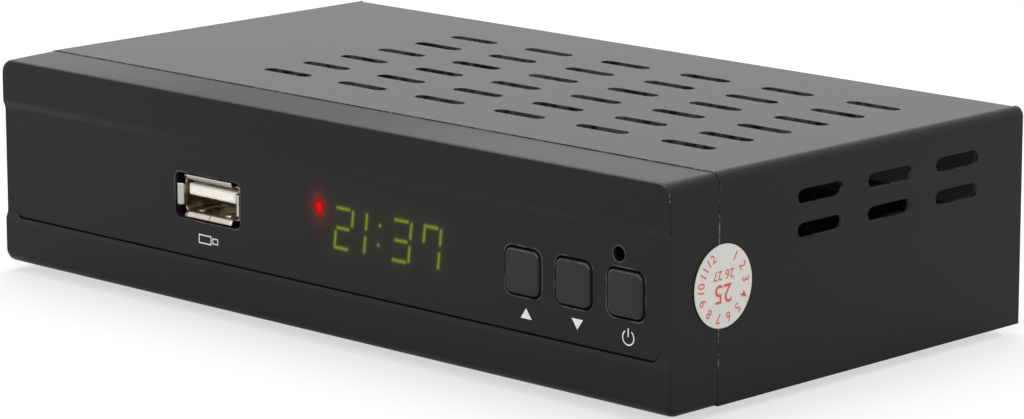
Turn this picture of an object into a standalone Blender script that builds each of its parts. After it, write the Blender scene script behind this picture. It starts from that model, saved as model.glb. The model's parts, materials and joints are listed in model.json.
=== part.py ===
# Small receiver for terrestrial television: a folded steel case behind a moulded
# plastic front, with the boards, sockets and keys that work inside it.
# Case frame: +X to the right seen from the front, +Y towards the back, +Z up.
# The front face is y = 0, the underside of the case is z = 0 and x = 0 is the middle.

import math

import bmesh
import bpy
from mathutils import Vector

MM = 0.001

# Overall sizes of the case
CASE_WIDTH = 150.0 * MM
CASE_DEPTH = 81.8 * MM
CASE_HEIGHT = 34.7 * MM
SHEET = 0.7 * MM
SEAT_GAP = 0.3 * MM
GLUE_GAP = 0.1 * MM
OVERRUN = 1.0 * MM
ARC_STEPS = 4
ROUND_STEPS = 16

# Steel top cover
COVER_BEND = 1.5 * MM
COVER_REAR_BEND = 0.9 * MM
COVER_LIP = 6.5 * MM
COVER_RELIEF = 0.6 * MM
VENT_LENGTH = 10.4 * MM
VENT_WIDTH = 2.25 * MM
TOP_VENT_COLUMNS = 6
TOP_VENT_ROWS = 6
TOP_VENT_PITCH_X = 17.5 * MM
TOP_VENT_PITCH_Y = 8.6 * MM
TOP_VENT_RIGHT_MARGIN = 17.35 * MM
TOP_VENT_FRONT_MARGIN = 12.7 * MM
SIDE_VENT_COLUMNS = 3
SIDE_VENT_ROWS = 2
SIDE_VENT_PITCH_Y = 16.15 * MM
SIDE_VENT_PITCH_Z = 5.1 * MM
SIDE_VENT_FRONT_MARGIN = 22.75 * MM
SIDE_VENT_TOP_MARGIN = 6.3 * MM

# Steel base pan
BASE_BEND = 1.2 * MM
BASE_SIDE_LIP = 9.0 * MM
BASE_RELIEF = 1.5 * MM
BASE_VENT_COLUMNS = 6
BASE_VENT_ROWS = 3
BASE_VENT_PITCH_X = 15.0 * MM
BASE_VENT_PITCH_Y = 12.0 * MM
STANDOFF_HEIGHT = 4.0 * MM
STANDOFF_RADIUS = 3.2 * MM

# Moulded front panel
PANEL_DEPTH = 10.45 * MM
PANEL_WALL = 2.0 * MM
PANEL_TOP_DROP = 0.3 * MM
PANEL_SEAM_DROP = 0.12 * MM
PANEL_TOP_EDGE = 0.5 * MM
PANEL_BOTTOM_EDGE = 1.8 * MM
PANEL_END_EDGE = 0.4 * MM
PANEL_CORNER = 0.9 * MM
PANEL_TOP_CORNER = 2.2 * MM
RECESS_DEPTH = 0.65 * MM
RECESS_LOW = 6.8 * MM
RECESS_TOP_MARGIN = 6.8 * MM
RECESS_RAMP = 2.0 * MM
RAMP_STEPS = 6
SPIGOT_WALL = 1.2 * MM
SPIGOT_LENGTH = 3.3 * MM
SPIGOT_ROOT = 1.5 * MM
EDGE_STEPS = 4
BOSS_RADIUS = 2.6 * MM
BOSS_BORE = 1.3 * MM
BOSS_ROOT = 0.5 * MM

# Tinted overlay in the recess
OVERLAY_END_MARGIN = 2.8 * MM
OVERLAY_LOW = 8.0 * MM
OVERLAY_TOP_MARGIN = 8.6 * MM
OVERLAY_THICKNESS = 0.45 * MM
OVERLAY_CORNER = 1.3 * MM
OVERLAY_CLEARANCE = 0.15 * MM
OVERLAY_POCKET_DROP = 0.08 * MM

# Keys and their tact switches
KEY_COUNT = 3
KEY_END_MARGIN = 9.1 * MM
KEY_PITCH = 10.35 * MM
KEY_DROP = 0.05 * MM
KEY_WIDTH = 6.9 * MM
KEY_HEIGHT = 6.9 * MM
KEY_CORNER = 1.2 * MM
KEY_EDGE = 0.35 * MM
KEY_STANDS_OUT = 0.5 * MM
KEY_CLEARANCE = 0.33 * MM
KEY_FLANGE = 0.8 * MM
KEY_FLANGE_THICKNESS = 0.8 * MM
KEY_STEM_RADIUS = 1.6 * MM
KEY_TRAVEL = 0.4 * MM
SWITCH_SIDE = 6.0 * MM
SWITCH_DEPTH = 3.5 * MM
SWITCH_EDGE = 0.4 * MM
PLUNGER_RADIUS = 1.75 * MM
PLUNGER_OUT = 1.3 * MM
PLUNGER_IN = 1.0 * MM

# Infrared receiver behind its hole
IR_OFFSET = 1.4 * MM
IR_RISE = 5.75 * MM
IR_HOLE_RADIUS = 1.15 * MM
IR_BODY_WIDTH = 6.0 * MM
IR_BODY_HEIGHT = 4.8 * MM
IR_BODY_DEPTH = 3.0 * MM
IR_LENS_RADIUS = 1.9 * MM
IR_STAND = 2.2 * MM
LEG_SIDE = 0.5 * MM
LEG_PITCH = 2.54 * MM

# Standby lamp
LAMP_GAP = 1.3 * MM
LAMP_RISE = 3.1 * MM
LAMP_SETBACK = 0.4 * MM
LAMP_RADIUS = 1.0 * MM
LAMP_RIM_RADIUS = 1.3 * MM
LAMP_RIM = 0.8 * MM
LAMP_LENGTH = 4.0 * MM

# Four digit display
DISPLAY_END_MARGIN = 59.5 * MM
DISPLAY_RISE = 0.35 * MM
DISPLAY_WIDTH = 25.0 * MM
DISPLAY_HEIGHT = 10.2 * MM
DISPLAY_SETBACK = 0.5 * MM
DISPLAY_EDGE = 0.4 * MM
DISPLAY_WINDOW_CORNER = 0.6 * MM

# Front board behind the panel
FRONT_BOARD_WIDTH = 110.0 * MM
FRONT_BOARD_END_MARGIN = 3.5 * MM
FRONT_BOARD_LOW = 3.5 * MM
FRONT_BOARD_TOP_MARGIN = 6.0 * MM
BOARD_THICKNESS = 1.6 * MM
BOARD_CORNER = 1.0 * MM
FRONT_BOARD_Y = 10.9 * MM
BOSS_INSET = 3.0 * MM

# Socket for a memory stick
STICK_END_MARGIN = 99.87 * MM
STICK_RISE = 0.57 * MM
STICK_SHELL_WIDTH = 13.1 * MM
STICK_SHELL_HEIGHT = 5.75 * MM
STICK_SHELL_WALL = 0.32 * MM
STICK_CORNER = 0.7 * MM
STICK_FLARE_X = 0.82 * MM
STICK_FLARE_Z = 0.54 * MM
STICK_FLARE_DEPTH = 0.45 * MM
STICK_MOUTH_Y = 0.95 * MM
STICK_LIP_NOTCH = 1.15 * MM
STICK_NOTCH_DEPTH = 1.6 * MM
STICK_WINDOW_GAP_X = 0.3 * MM
STICK_WINDOW_GAP_Z = 0.3 * MM
STICK_WINDOW_SHIFT = 0.15 * MM
STICK_WINDOW_CORNER = 1.1 * MM
STICK_TONGUE_GAP = 0.68 * MM
STICK_TONGUE_THICKNESS = 1.84 * MM
STICK_TONGUE_RISE = 0.9 * MM
STICK_TONGUE_SETBACK = 0.8 * MM
STICK_BLOCK_DEPTH = 1.6 * MM

# Main board
MAIN_BOARD_END_MARGIN = 6.0 * MM
MAIN_BOARD_FRONT = 17.5 * MM
MAIN_BOARD_BACK_GAP = 1.8 * MM
SOCKET_ROW_MARGIN = 6.0 * MM
BOARD_HOLE_INSET = 5.0 * MM
BOARD_HOLE_RADIUS = 1.7 * MM
STANDOFF_BORE = 1.6 * MM

# Screws
SCREW_RADIUS = 1.3 * MM
SCREW_HEAD_RADIUS = 2.6 * MM
SCREW_HEAD_HEIGHT = 1.7 * MM
SCREW_HEAD_CROWN = 0.5 * MM
SCREW_CROSS_WIDTH = 0.8 * MM
SCREW_CROSS_LENGTH = 3.0 * MM
SCREW_CROSS_DEPTH = 0.9 * MM
BOARD_SCREW_LENGTH = 4.6 * MM
FRONT_SCREW_LENGTH = 5.2 * MM
FRONT_SCREW_RADIUS = 1.0 * MM
COVER_SCREW_LENGTH = 4.5 * MM
COVER_SCREW_INSET = 12.0 * MM
COVER_SCREW_DROP = 3.6 * MM

# Tuner with its two aerial connectors
TUNER_WIDTH = 27.0 * MM
TUNER_DEPTH = 25.0 * MM
TUNER_HEIGHT = 14.0 * MM
TUNER_EDGE = 0.6 * MM
AERIAL_PITCH = 14.5 * MM
AERIAL_REACH = 9.5 * MM
AERIAL_HOLE_CLEARANCE = 0.4 * MM
AERIAL_COLLAR_RADIUS = 6.2 * MM
AERIAL_COLLAR_REACH = 1.6 * MM
AERIAL_IN_RADIUS = 5.6 * MM
AERIAL_IN_WALL = 0.8 * MM
AERIAL_CONTACT_RADIUS = 2.0 * MM
AERIAL_CONTACT_WALL = 0.8 * MM
AERIAL_CONTACT_SETBACK = 1.0 * MM
AERIAL_OUT_RADIUS = 4.75 * MM
AERIAL_OUT_WALL = 0.65 * MM
AERIAL_PIN_RADIUS = 1.2 * MM
AERIAL_WASHER = 1.4 * MM
AERIAL_FLOOR = 1.2 * MM
AERIAL_RIM = 0.3 * MM

# Digital picture socket
PICTURE_WIDTH = 15.0 * MM
PICTURE_HEIGHT = 5.9 * MM
PICTURE_TAPER = 2.6 * MM
PICTURE_SHOULDER = 2.3 * MM
PICTURE_WALL = 0.4 * MM
PICTURE_DEPTH = 11.0 * MM
PICTURE_REACH = 0.5 * MM
PICTURE_TONGUE_GAP = 1.4 * MM
PICTURE_TONGUE_THICKNESS = 1.2 * MM
PICTURE_TONGUE_SETBACK = 1.2 * MM
PICTURE_BLOCK_DEPTH = 2.2 * MM

# Wide twenty one pole socket
WIDE_WIDTH = 49.6 * MM
WIDE_HEIGHT = 15.2 * MM
WIDE_DEPTH = 16.0 * MM
WIDE_REACH = 2.2 * MM
WIDE_RIM_X = 1.35 * MM
WIDE_RIM_Z = 1.2 * MM
WIDE_GROOVE = 1.2 * MM
WIDE_GROOVE_DEPTH = 8.5 * MM
WIDE_SLANT = 4.0 * MM
WIDE_ISLAND_SETBACK = 1.2 * MM
WIDE_SLOT_PITCH = 3.81 * MM
WIDE_SLOT_WIDTH = 1.2 * MM
WIDE_SLOT_HEIGHT = 3.2 * MM
WIDE_SLOT_DEPTH = 6.0 * MM
WIDE_ROW_OFFSET = 2.6 * MM

# Round sound socket
SOUND_BODY_WIDTH = 10.4 * MM
SOUND_BODY_HEIGHT = 12.4 * MM
SOUND_BODY_DEPTH = 9.5 * MM
SOUND_REACH = 8.6 * MM
SOUND_BARREL_RADIUS = 4.15 * MM
SOUND_BARREL_WALL = 0.65 * MM
SOUND_CORE_GAP = 0.35 * MM
SOUND_CORE_BORE = 1.6 * MM
SOUND_CORE_SETBACK = 0.5 * MM
SOUND_CORE_DEPTH = 6.5 * MM
SOUND_BARREL_ROOT = 4.0 * MM

# Power jack
POWER_BODY_WIDTH = 9.2 * MM
POWER_BODY_HEIGHT = 11.0 * MM
POWER_BODY_DEPTH = 14.0 * MM
POWER_NOSE_RADIUS = 4.3 * MM
POWER_REACH = 1.4 * MM
POWER_BORE_RADIUS = 3.1 * MM
POWER_BORE_DEPTH = 10.0 * MM
POWER_PIN_RADIUS = 1.05 * MM
POWER_PIN_SETBACK = 1.5 * MM

# Chips and other parts on the main board
HEATSINK_END_MARGIN = 53.0 * MM
HEATSINK_Y = 39.7 * MM
PROCESSOR_SIDE = 20.0 * MM
PROCESSOR_HEIGHT = 1.6 * MM
HEATSINK_SIDE = 26.0 * MM
HEATSINK_HEIGHT = 9.0 * MM
HEATSINK_BASE = 2.0 * MM
HEATSINK_FINS = 8
HEATSINK_FIN = 1.2 * MM
MEMORY_END_MARGIN = 79.0 * MM
MEMORY_Y = 41.5 * MM
MEMORY_WIDTH = 9.0 * MM
MEMORY_LENGTH = 13.5 * MM
MEMORY_HEIGHT = 1.2 * MM
FLASH_END_MARGIN = 20.0 * MM
FLASH_Y = 26.5 * MM
FLASH_WIDTH = 5.3 * MM
FLASH_LENGTH = 5.3 * MM
FLASH_HEIGHT = 1.9 * MM
CRYSTAL_END_MARGIN = 78.0 * MM
CRYSTAL_Y = 30.5 * MM
CRYSTAL_LENGTH = 11.0 * MM
CRYSTAL_WIDTH = 4.6 * MM
CRYSTAL_HEIGHT = 3.5 * MM
COIL_END_MARGIN = 19.2 * MM
COIL_Y = 36.5 * MM
COIL_SIDE = 10.0 * MM
COIL_HEIGHT = 4.6 * MM
COIL_CORNER = 2.6 * MM
CAPACITOR_COUNT = 3
CAPACITOR_END_MARGIN = 31.0 * MM
CAPACITOR_Y = 27.5 * MM
CAPACITOR_PITCH = 11.5 * MM
CAPACITOR_RADIUS = 4.0 * MM
CAPACITOR_HEIGHT = 12.0 * MM
CAPACITOR_GROOVE = 0.4 * MM
CAPACITOR_GROOVE_Z = 1.6 * MM
CHIP_EDGE = 0.3 * MM

# Flat lead from the front board to the main board
LEAD_END_MARGIN = 84.0 * MM
LEAD_WIDTH = 12.7 * MM
LEAD_THICKNESS = 0.8 * MM
LEAD_TOP = 7.5 * MM
HEADER_LENGTH = 15.5 * MM
HEADER_WIDTH = 2.9 * MM
HEADER_HEIGHT = 5.8 * MM
FRONT_HEADER_Z = 11.0 * MM
MAIN_HEADER_Y = 23.0 * MM
LEAD_STEPS = 14

# Paper seal over the seam, and the rubber feet
SEAL_RADIUS = 6.25 * MM
SEAL_Z = 17.9 * MM
SEAL_OFFSET = 0.75 * MM
SEAL_THICKNESS = 0.12 * MM
SEAL_STEPS = 40
FOOT_RADIUS = 4.0 * MM
FOOT_HEIGHT = 1.5 * MM
FOOT_CHAMFER = 0.4 * MM
FOOT_INSET_X = 19.0 * MM
FOOT_INSET_Y = 18.0 * MM

# Places that follow from the sizes above
HALF_WIDTH = CASE_WIDTH / 2
COVER_INSIDE_X = HALF_WIDTH - SHEET
BASE_HALF = COVER_INSIDE_X - SEAT_GAP
COVER_FRONT = PANEL_DEPTH + SEAT_GAP
REAR_WALL_Y = CASE_DEPTH - SHEET - SEAT_GAP
REAR_INSIDE_Y = REAR_WALL_Y - SHEET
RECESS_BACK = RECESS_DEPTH + PANEL_WALL
MAIN_BOARD_Z = SHEET + STANDOFF_HEIGHT + SEAT_GAP
BOARD_TOP = MAIN_BOARD_Z + BOARD_THICKNESS + SEAT_GAP
FRONT_FACE_SEAT = FRONT_BOARD_Y - SEAT_GAP
FRONT_BACK_SEAT = FRONT_BOARD_Y + BOARD_THICKNESS + SEAT_GAP
SOCKET_BACK = REAR_INSIDE_Y - SEAT_GAP
AERIAL_Z = BOARD_TOP + TUNER_HEIGHT / 2
RECESS_HIGH = CASE_HEIGHT - RECESS_TOP_MARGIN
OVERLAY_WIDTH = CASE_WIDTH - 2 * OVERLAY_END_MARGIN
OVERLAY_HIGH = CASE_HEIGHT - OVERLAY_TOP_MARGIN
OVERLAY_MIDDLE = (OVERLAY_LOW + OVERLAY_HIGH) / 2
OVERLAY_BACK = RECESS_DEPTH + OVERLAY_THICKNESS
KEY_LAST_X = HALF_WIDTH - KEY_END_MARGIN
KEY_FIRST_X = KEY_LAST_X - (KEY_COUNT - 1) * KEY_PITCH
KEY_Z = OVERLAY_MIDDLE - KEY_DROP
KEY_FLANGE_WIDTH = KEY_WIDTH + 2 * (KEY_CLEARANCE + KEY_FLANGE)
IR_X = KEY_LAST_X - IR_OFFSET
IR_Z = KEY_Z + IR_RISE
DISPLAY_X = HALF_WIDTH - DISPLAY_END_MARGIN
DISPLAY_Z = OVERLAY_MIDDLE + DISPLAY_RISE
LAMP_X = DISPLAY_X - DISPLAY_WIDTH / 2 - LAMP_GAP - LAMP_RIM_RADIUS
LAMP_Z = OVERLAY_MIDDLE + LAMP_RISE
STICK_X = HALF_WIDTH - STICK_END_MARGIN
STICK_Z = OVERLAY_MIDDLE + STICK_RISE
FRONT_BOARD_RIGHT = HALF_WIDTH - FRONT_BOARD_END_MARGIN
FRONT_BOARD_LEFT = FRONT_BOARD_RIGHT - FRONT_BOARD_WIDTH
FRONT_BOARD_HIGH = CASE_HEIGHT - FRONT_BOARD_TOP_MARGIN
LEAD_X = HALF_WIDTH - LEAD_END_MARGIN
MAIN_BOARD_WIDTH = CASE_WIDTH - 2 * MAIN_BOARD_END_MARGIN

# The sockets share what is left of the back wall as equal gaps
SOCKET_WIDTHS = (TUNER_WIDTH, PICTURE_WIDTH, WIDE_WIDTH, SOUND_BODY_WIDTH, POWER_BODY_WIDTH)
SOCKET_ROW = CASE_WIDTH - 2 * SOCKET_ROW_MARGIN
SOCKET_GAP = (SOCKET_ROW - sum(SOCKET_WIDTHS)) / (len(SOCKET_WIDTHS) - 1)


def socket_middle(place):
    """Middle of a socket in the row along the back, counted from the left."""
    before = sum(SOCKET_WIDTHS[:place]) + place * SOCKET_GAP
    return -SOCKET_ROW / 2 + before + SOCKET_WIDTHS[place] / 2


TUNER_X, PICTURE_X, WIDE_X, SOUND_X, POWER_X = (socket_middle(i) for i in range(len(SOCKET_WIDTHS)))
OVERALL_DEPTH = REAR_WALL_Y + AERIAL_REACH
KEY_FRONT = RECESS_DEPTH - KEY_STANDS_OUT
FOREMOST = min(KEY_FRONT, 0)


def clear_scene():
    for thing in list(bpy.data.objects):
        bpy.data.objects.remove(thing, do_unlink=True)


def make_material(name, colour, roughness, metallic=0.0):
    material = bpy.data.materials.new(name)
    material.use_nodes = True
    shader = material.node_tree.nodes["Principled BSDF"]
    shader.inputs["Base Color"].default_value = (*colour, 1.0)
    shader.inputs["Roughness"].default_value = roughness
    shader.inputs["Metallic"].default_value = metallic
    return material


# Outlines: lists of (u, v) points that run anticlockwise

def arc(centre, radius, start, end, steps):
    """Points of an arc from the start angle to the end angle, in degrees, both included."""
    turn = [math.radians(start + (end - start) * i / steps) for i in range(steps + 1)]
    return [(centre[0] + radius * math.cos(a), centre[1] + radius * math.sin(a)) for a in turn]


def round_rect(width, height, radius, centre=(0, 0), steps=ARC_STEPS):
    """A rectangle with round corners."""
    u, v = width / 2 - radius, height / 2 - radius
    points = []
    for turn, (side_u, side_v) in enumerate(((1, 1), (-1, 1), (-1, -1), (1, -1))):
        corner = (centre[0] + side_u * u, centre[1] + side_v * v)
        points += arc(corner, radius, 90 * turn, 90 * turn + 90, steps)
    return points


def slot_outline(length, width, centre, upright=False):
    """A slot with round ends."""
    ends = ((length - width) / 2, 0)
    points = []
    for side, start in ((1, -90), (-1, 90)):
        points += arc((side * ends[0], 0), width / 2, start, start + 180, ARC_STEPS)
    if upright:
        points = [(-v, u) for u, v in points]
    return [(centre[0] + u, centre[1] + v) for u, v in points]


def circle(radius, centre=(0, 0), steps=ROUND_STEPS):
    return arc(centre, radius, 0, 360 - 360 / steps, steps - 1)


def rectangle(left, right, low, high):
    return [(left, low), (right, low), (right, high), (left, high)]


# Solids

def placed(u, v, along, axis):
    """Point of the case frame for outline place (u, v) at a distance along an axis."""
    return {"X": (along, u, v), "Y": (u, along, v), "Z": (u, v, along)}[axis]


def loft(sections, axis="Z", ring=False, mesh=None):
    """Joins outlines of equal length, each (points, distance along the axis), into a solid.

    A ring joins the last section to the first, so the solid is a tube.
    """
    mesh = mesh or bmesh.new()
    loops = [[mesh.verts.new(placed(u, v, along, axis)) for u, v in points] for points, along in sections]
    pairs = list(zip(loops, loops[1:]))
    if ring:
        pairs.append((loops[-1], loops[0]))
    for low, high in pairs:
        for i in range(len(low)):
            j = (i + 1) % len(low)
            mesh.faces.new((low[i], low[j], high[j], high[i]))
    if not ring:
        mesh.faces.new(list(reversed(loops[0])))
        mesh.faces.new(loops[-1])
    return mesh


def prism(points, axis, start, end, mesh=None):
    return loft([(points, start), (points, end)], axis, mesh=mesh)


def block(low, high, mesh=None):
    """A box between two corners."""
    return prism(rectangle(low[0], high[0], low[1], high[1]), "Z", low[2], high[2], mesh)


def turned(profile, axis, centre=(0, 0), steps=ROUND_STEPS, ring=False, mesh=None):
    """A profile of (radius, distance along) points turned round a line along the axis."""
    sections = [(circle(radius, centre, steps), along) for radius, along in profile]
    return loft(sections, axis, ring, mesh)


def cross_cutter(width, length, depth, top):
    """A plus sign that sinks into the head of a screw."""
    half, arm = width / 2, length / 2
    points = [(arm, -half), (arm, half), (half, half), (half, arm), (-half, arm), (-half, half)]
    points += [(-u, -v) for u, v in points]
    return prism(points, "Z", top - depth, top + OVERRUN)


def add_object(name, mesh, material, parent, location=(0, 0, 0), smooth=True):
    """Makes a named object from a bmesh, with its faces turned outwards."""
    bmesh.ops.recalc_face_normals(mesh, faces=mesh.faces)
    data = bpy.data.meshes.new(name)
    mesh.to_mesh(data)
    mesh.free()
    return add_copy(name, data, material, parent, location, smooth)


def add_copy(name, data, material, parent, location, smooth=True):
    """An object that may share its mesh with others."""
    thing = bpy.data.objects.new(name, data)
    bpy.context.scene.collection.objects.link(thing)
    if material and not data.materials:
        data.materials.append(material)
    if smooth:
        data.shade_smooth()
        data.set_sharp_from_angle(angle=math.radians(35))
    thing.location = location
    thing.parent = parent
    return thing


def boolean(thing, mesh, operation, label):
    """Cuts a helper from an object, or joins it on. The helper is only a guide."""
    helper = add_object(f"{thing.name}_{label}", mesh, None, thing.parent, thing.location, smooth=False)
    helper.hide_render = True
    helper.display_type = "WIRE"
    modifier = thing.modifiers.new(label, "BOOLEAN")
    modifier.object = helper
    modifier.operation = operation
    modifier.solver = "EXACT"
    return thing


def cut(thing, mesh, label):
    return boolean(thing, mesh, "DIFFERENCE", label)


def join(thing, mesh, label):
    return boolean(thing, mesh, "UNION", label)


def baked_mesh(thing):
    """The mesh of an object with its modifiers applied; the object and its helpers are removed."""
    bpy.context.view_layer.update()
    graph = bpy.context.evaluated_depsgraph_get()
    data = bpy.data.meshes.new_from_object(thing.evaluated_get(graph))
    helpers = [modifier.object for modifier in thing.modifiers if modifier.type == "BOOLEAN"]
    for extra in [thing, *helpers]:
        bpy.data.objects.remove(extra, do_unlink=True)
    return data


def sheet_metal(name, strips, material, parent, outside):
    """Folded sheet: strips of its outer skin, merged where they meet, given the sheet's thickness.

    Each strip is (points, axis, start, end). The outside is a direction in which the first
    face of the skin looks.
    """
    skin = bmesh.new()
    for points, axis, start, end in strips:
        rows = [[skin.verts.new(placed(u, v, along, axis)) for u, v in points] for along in (start, end)]
        for i in range(len(points) - 1):
            skin.faces.new((rows[0][i], rows[0][i + 1], rows[1][i + 1], rows[1][i]))
    bmesh.ops.remove_doubles(skin, verts=skin.verts, dist=SHEET / 100)
    skin.faces.ensure_lookup_table()
    bmesh.ops.recalc_face_normals(skin, faces=skin.faces)
    skin.normal_update()
    skin.faces.ensure_lookup_table()
    if skin.faces[0].normal.dot(Vector(outside)) < 0:
        bmesh.ops.reverse_faces(skin, faces=skin.faces)
    data = bpy.data.meshes.new(name)
    skin.to_mesh(data)
    skin.free()
    thing = add_copy(name, data, material, parent, (0, 0, 0))
    wall = thing.modifiers.new("sheet", "SOLIDIFY")
    wall.thickness = SHEET
    wall.offset = -1
    wall.use_even_offset = True
    wall.use_quality_normals = True
    return thing


def spread(count, pitch, first):
    return [first + i * pitch for i in range(count)]


# Case

def build_top_cover(parent, steel):
    """Top and both sides folded from one sheet, with a lip down the back and rows of vents."""
    bend_x, bend_z = HALF_WIDTH - COVER_BEND, CASE_HEIGHT - COVER_BEND
    bend_y = CASE_DEPTH - COVER_REAR_BEND
    lip_x = bend_x - COVER_RELIEF
    right = arc((bend_x, bend_z), COVER_BEND, 0, 90, ARC_STEPS)
    left = arc((-bend_x, bend_z), COVER_BEND, 90, 180, ARC_STEPS)
    around = [(HALF_WIDTH, 0), *right, (lip_x, CASE_HEIGHT), (-lip_x, CASE_HEIGHT), *left, (-HALF_WIDTH, 0)]
    back = arc((bend_y, CASE_HEIGHT - COVER_REAR_BEND), COVER_REAR_BEND, 90, 0, ARC_STEPS)
    back.append((CASE_DEPTH, CASE_HEIGHT - COVER_LIP))
    strips = [
        (around, "Y", COVER_FRONT, bend_y),
        ([(HALF_WIDTH, 0), *right], "Y", bend_y, CASE_DEPTH),
        ([*left, (-HALF_WIDTH, 0)], "Y", bend_y, CASE_DEPTH),
        (back, "X", -lip_x, lip_x),
    ]
    cover = sheet_metal("top_cover", strips, steel, parent, (1, 0, 0))

    last_x = HALF_WIDTH - TOP_VENT_RIGHT_MARGIN
    columns = spread(TOP_VENT_COLUMNS, -TOP_VENT_PITCH_X, last_x)
    rows = spread(TOP_VENT_ROWS, TOP_VENT_PITCH_Y, PANEL_DEPTH + TOP_VENT_FRONT_MARGIN)
    vents = bmesh.new()
    for x in columns:
        for y in rows:
            outline = slot_outline(VENT_LENGTH, VENT_WIDTH, (x, y))
            prism(outline, "Z", CASE_HEIGHT - SHEET - OVERRUN, CASE_HEIGHT + OVERRUN, vents)
    cut(cover, vents, "top_vents")

    columns = spread(SIDE_VENT_COLUMNS, SIDE_VENT_PITCH_Y, PANEL_DEPTH + SIDE_VENT_FRONT_MARGIN)
    rows = spread(SIDE_VENT_ROWS, -SIDE_VENT_PITCH_Z, CASE_HEIGHT - SIDE_VENT_TOP_MARGIN)
    vents = bmesh.new()
    for y in columns:
        for z in rows:
            outline = slot_outline(VENT_LENGTH, VENT_WIDTH, (y, z))
            prism(outline, "X", -HALF_WIDTH - OVERRUN, HALF_WIDTH + OVERRUN, vents)
    cut(cover, vents, "side_vents")

    holes = bmesh.new()
    for x, z in cover_screw_places():
        outline = circle(SCREW_RADIUS + SEAT_GAP, (x, z))
        prism(outline, "Y", CASE_DEPTH - SHEET - OVERRUN, CASE_DEPTH + OVERRUN, holes)
    cut(cover, holes, "screw_holes")
    return cover


def cover_screw_places():
    z = CASE_HEIGHT - COVER_SCREW_DROP
    return [(side * (HALF_WIDTH - COVER_SCREW_INSET), z) for side in (-1, 1)]


def standoff_places():
    """Middle of each main board hole, as (x, y)."""
    x = MAIN_BOARD_WIDTH / 2 - BOARD_HOLE_INSET
    front = MAIN_BOARD_FRONT + BOARD_HOLE_INSET
    back = REAR_INSIDE_Y - MAIN_BOARD_BACK_GAP - TUNER_DEPTH - BOARD_HOLE_INSET
    return [(-x, front), (x, front), (-x, back), (x, back)]


def build_base_pan(parent, steel):
    """Floor, back wall and low side lips folded from one sheet, with the ports cut in the back."""
    front = COVER_FRONT
    lip_front = PANEL_DEPTH + SPIGOT_LENGTH + BASE_RELIEF
    bend_x, bend_y = BASE_HALF - BASE_BEND, REAR_WALL_Y - BASE_BEND
    wall_x = bend_x - BASE_RELIEF
    wall_top = CASE_HEIGHT - SHEET - SEAT_GAP
    floor = [(-bend_x, 0), (-wall_x, 0), (wall_x, 0), (bend_x, 0)]
    right = arc((bend_x, BASE_BEND), BASE_BEND, -90, 0, ARC_STEPS) + [(BASE_HALF, BASE_SIDE_LIP)]
    left = [(-x, z) for x, z in right]
    back = arc((bend_y, BASE_BEND), BASE_BEND, -90, 0, ARC_STEPS) + [(REAR_WALL_Y, wall_top)]
    strips = [
        (floor, "Y", front, lip_front),
        (floor, "Y", lip_front, bend_y),
        (right, "Y", lip_front, bend_y),
        (left, "Y", lip_front, bend_y),
        (back, "X", -wall_x, wall_x),
    ]
    pan = sheet_metal("base_pan", strips, steel, parent, (0, 0, -1))

    wings = bmesh.new()
    for side in (-1, 1):
        inner, outer = side * (wall_x - OVERRUN), side * BASE_HALF
        low, high = BASE_SIDE_LIP + BASE_RELIEF, wall_top
        block((min(inner, outer), REAR_INSIDE_Y, low), (max(inner, outer), REAR_WALL_Y, high), wings)
    join(pan, wings, "wall_wings")

    columns = spread(BASE_VENT_COLUMNS, BASE_VENT_PITCH_X, -BASE_VENT_PITCH_X * (BASE_VENT_COLUMNS - 1) / 2)
    middle = (COVER_FRONT + REAR_WALL_Y) / 2
    rows = spread(BASE_VENT_ROWS, BASE_VENT_PITCH_Y, middle - BASE_VENT_PITCH_Y * (BASE_VENT_ROWS - 1) / 2)
    vents = bmesh.new()
    for x in columns:
        for y in rows:
            prism(slot_outline(VENT_LENGTH, VENT_WIDTH, (x, y)), "Z", -OVERRUN, SHEET + OVERRUN, vents)
    cut(pan, vents, "floor_vents")

    stands = bmesh.new()
    for place in standoff_places():
        prism(circle(STANDOFF_RADIUS, place), "Z", SHEET / 2, SHEET + STANDOFF_HEIGHT, stands)
    join(pan, stands, "standoffs")
    bores = bmesh.new()
    for place in standoff_places():
        prism(circle(STANDOFF_BORE, place), "Z", -OVERRUN, SHEET + STANDOFF_HEIGHT + OVERRUN, bores)
    cut(pan, bores, "standoff_bores")
    cut(pan, port_cutters(), "ports")
    return pan


def port_cutters():
    """Openings in the back wall, each the outline of its socket and a clearance."""
    start, end = REAR_INSIDE_Y - OVERRUN, REAR_WALL_Y + OVERRUN
    ports = bmesh.new()
    for x in aerial_places():
        hole = AERIAL_COLLAR_RADIUS + AERIAL_HOLE_CLEARANCE
        prism(circle(hole, (x, AERIAL_Z)), "Y", start, end, ports)
    prism(picture_outline(SEAT_GAP), "Y", start, end, ports)
    wide = (WIDE_X, BOARD_TOP + WIDE_HEIGHT / 2)
    outline = round_rect(WIDE_WIDTH + 2 * SEAT_GAP, WIDE_HEIGHT + 2 * SEAT_GAP, SHEET, wide)
    prism(outline, "Y", start, end, ports)
    outline = circle(SOUND_BARREL_RADIUS + SEAT_GAP, (SOUND_X, BOARD_TOP + SOUND_BODY_HEIGHT / 2))
    prism(outline, "Y", start, end, ports)
    outline = circle(POWER_NOSE_RADIUS + SEAT_GAP, (POWER_X, BOARD_TOP + POWER_BODY_HEIGHT / 2))
    prism(outline, "Y", start, end, ports)
    for x, z in cover_screw_places():
        prism(circle(SCREW_RADIUS + SEAT_GAP, (x, z)), "Y", start, end, ports)
    return ports


def rounded_inset(radius, distance):
    """How far a rounded edge stands in from its wall, at a distance behind the front."""
    if distance >= radius:
        return 0
    return radius - math.sqrt(radius ** 2 - (radius - distance) ** 2)


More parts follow.
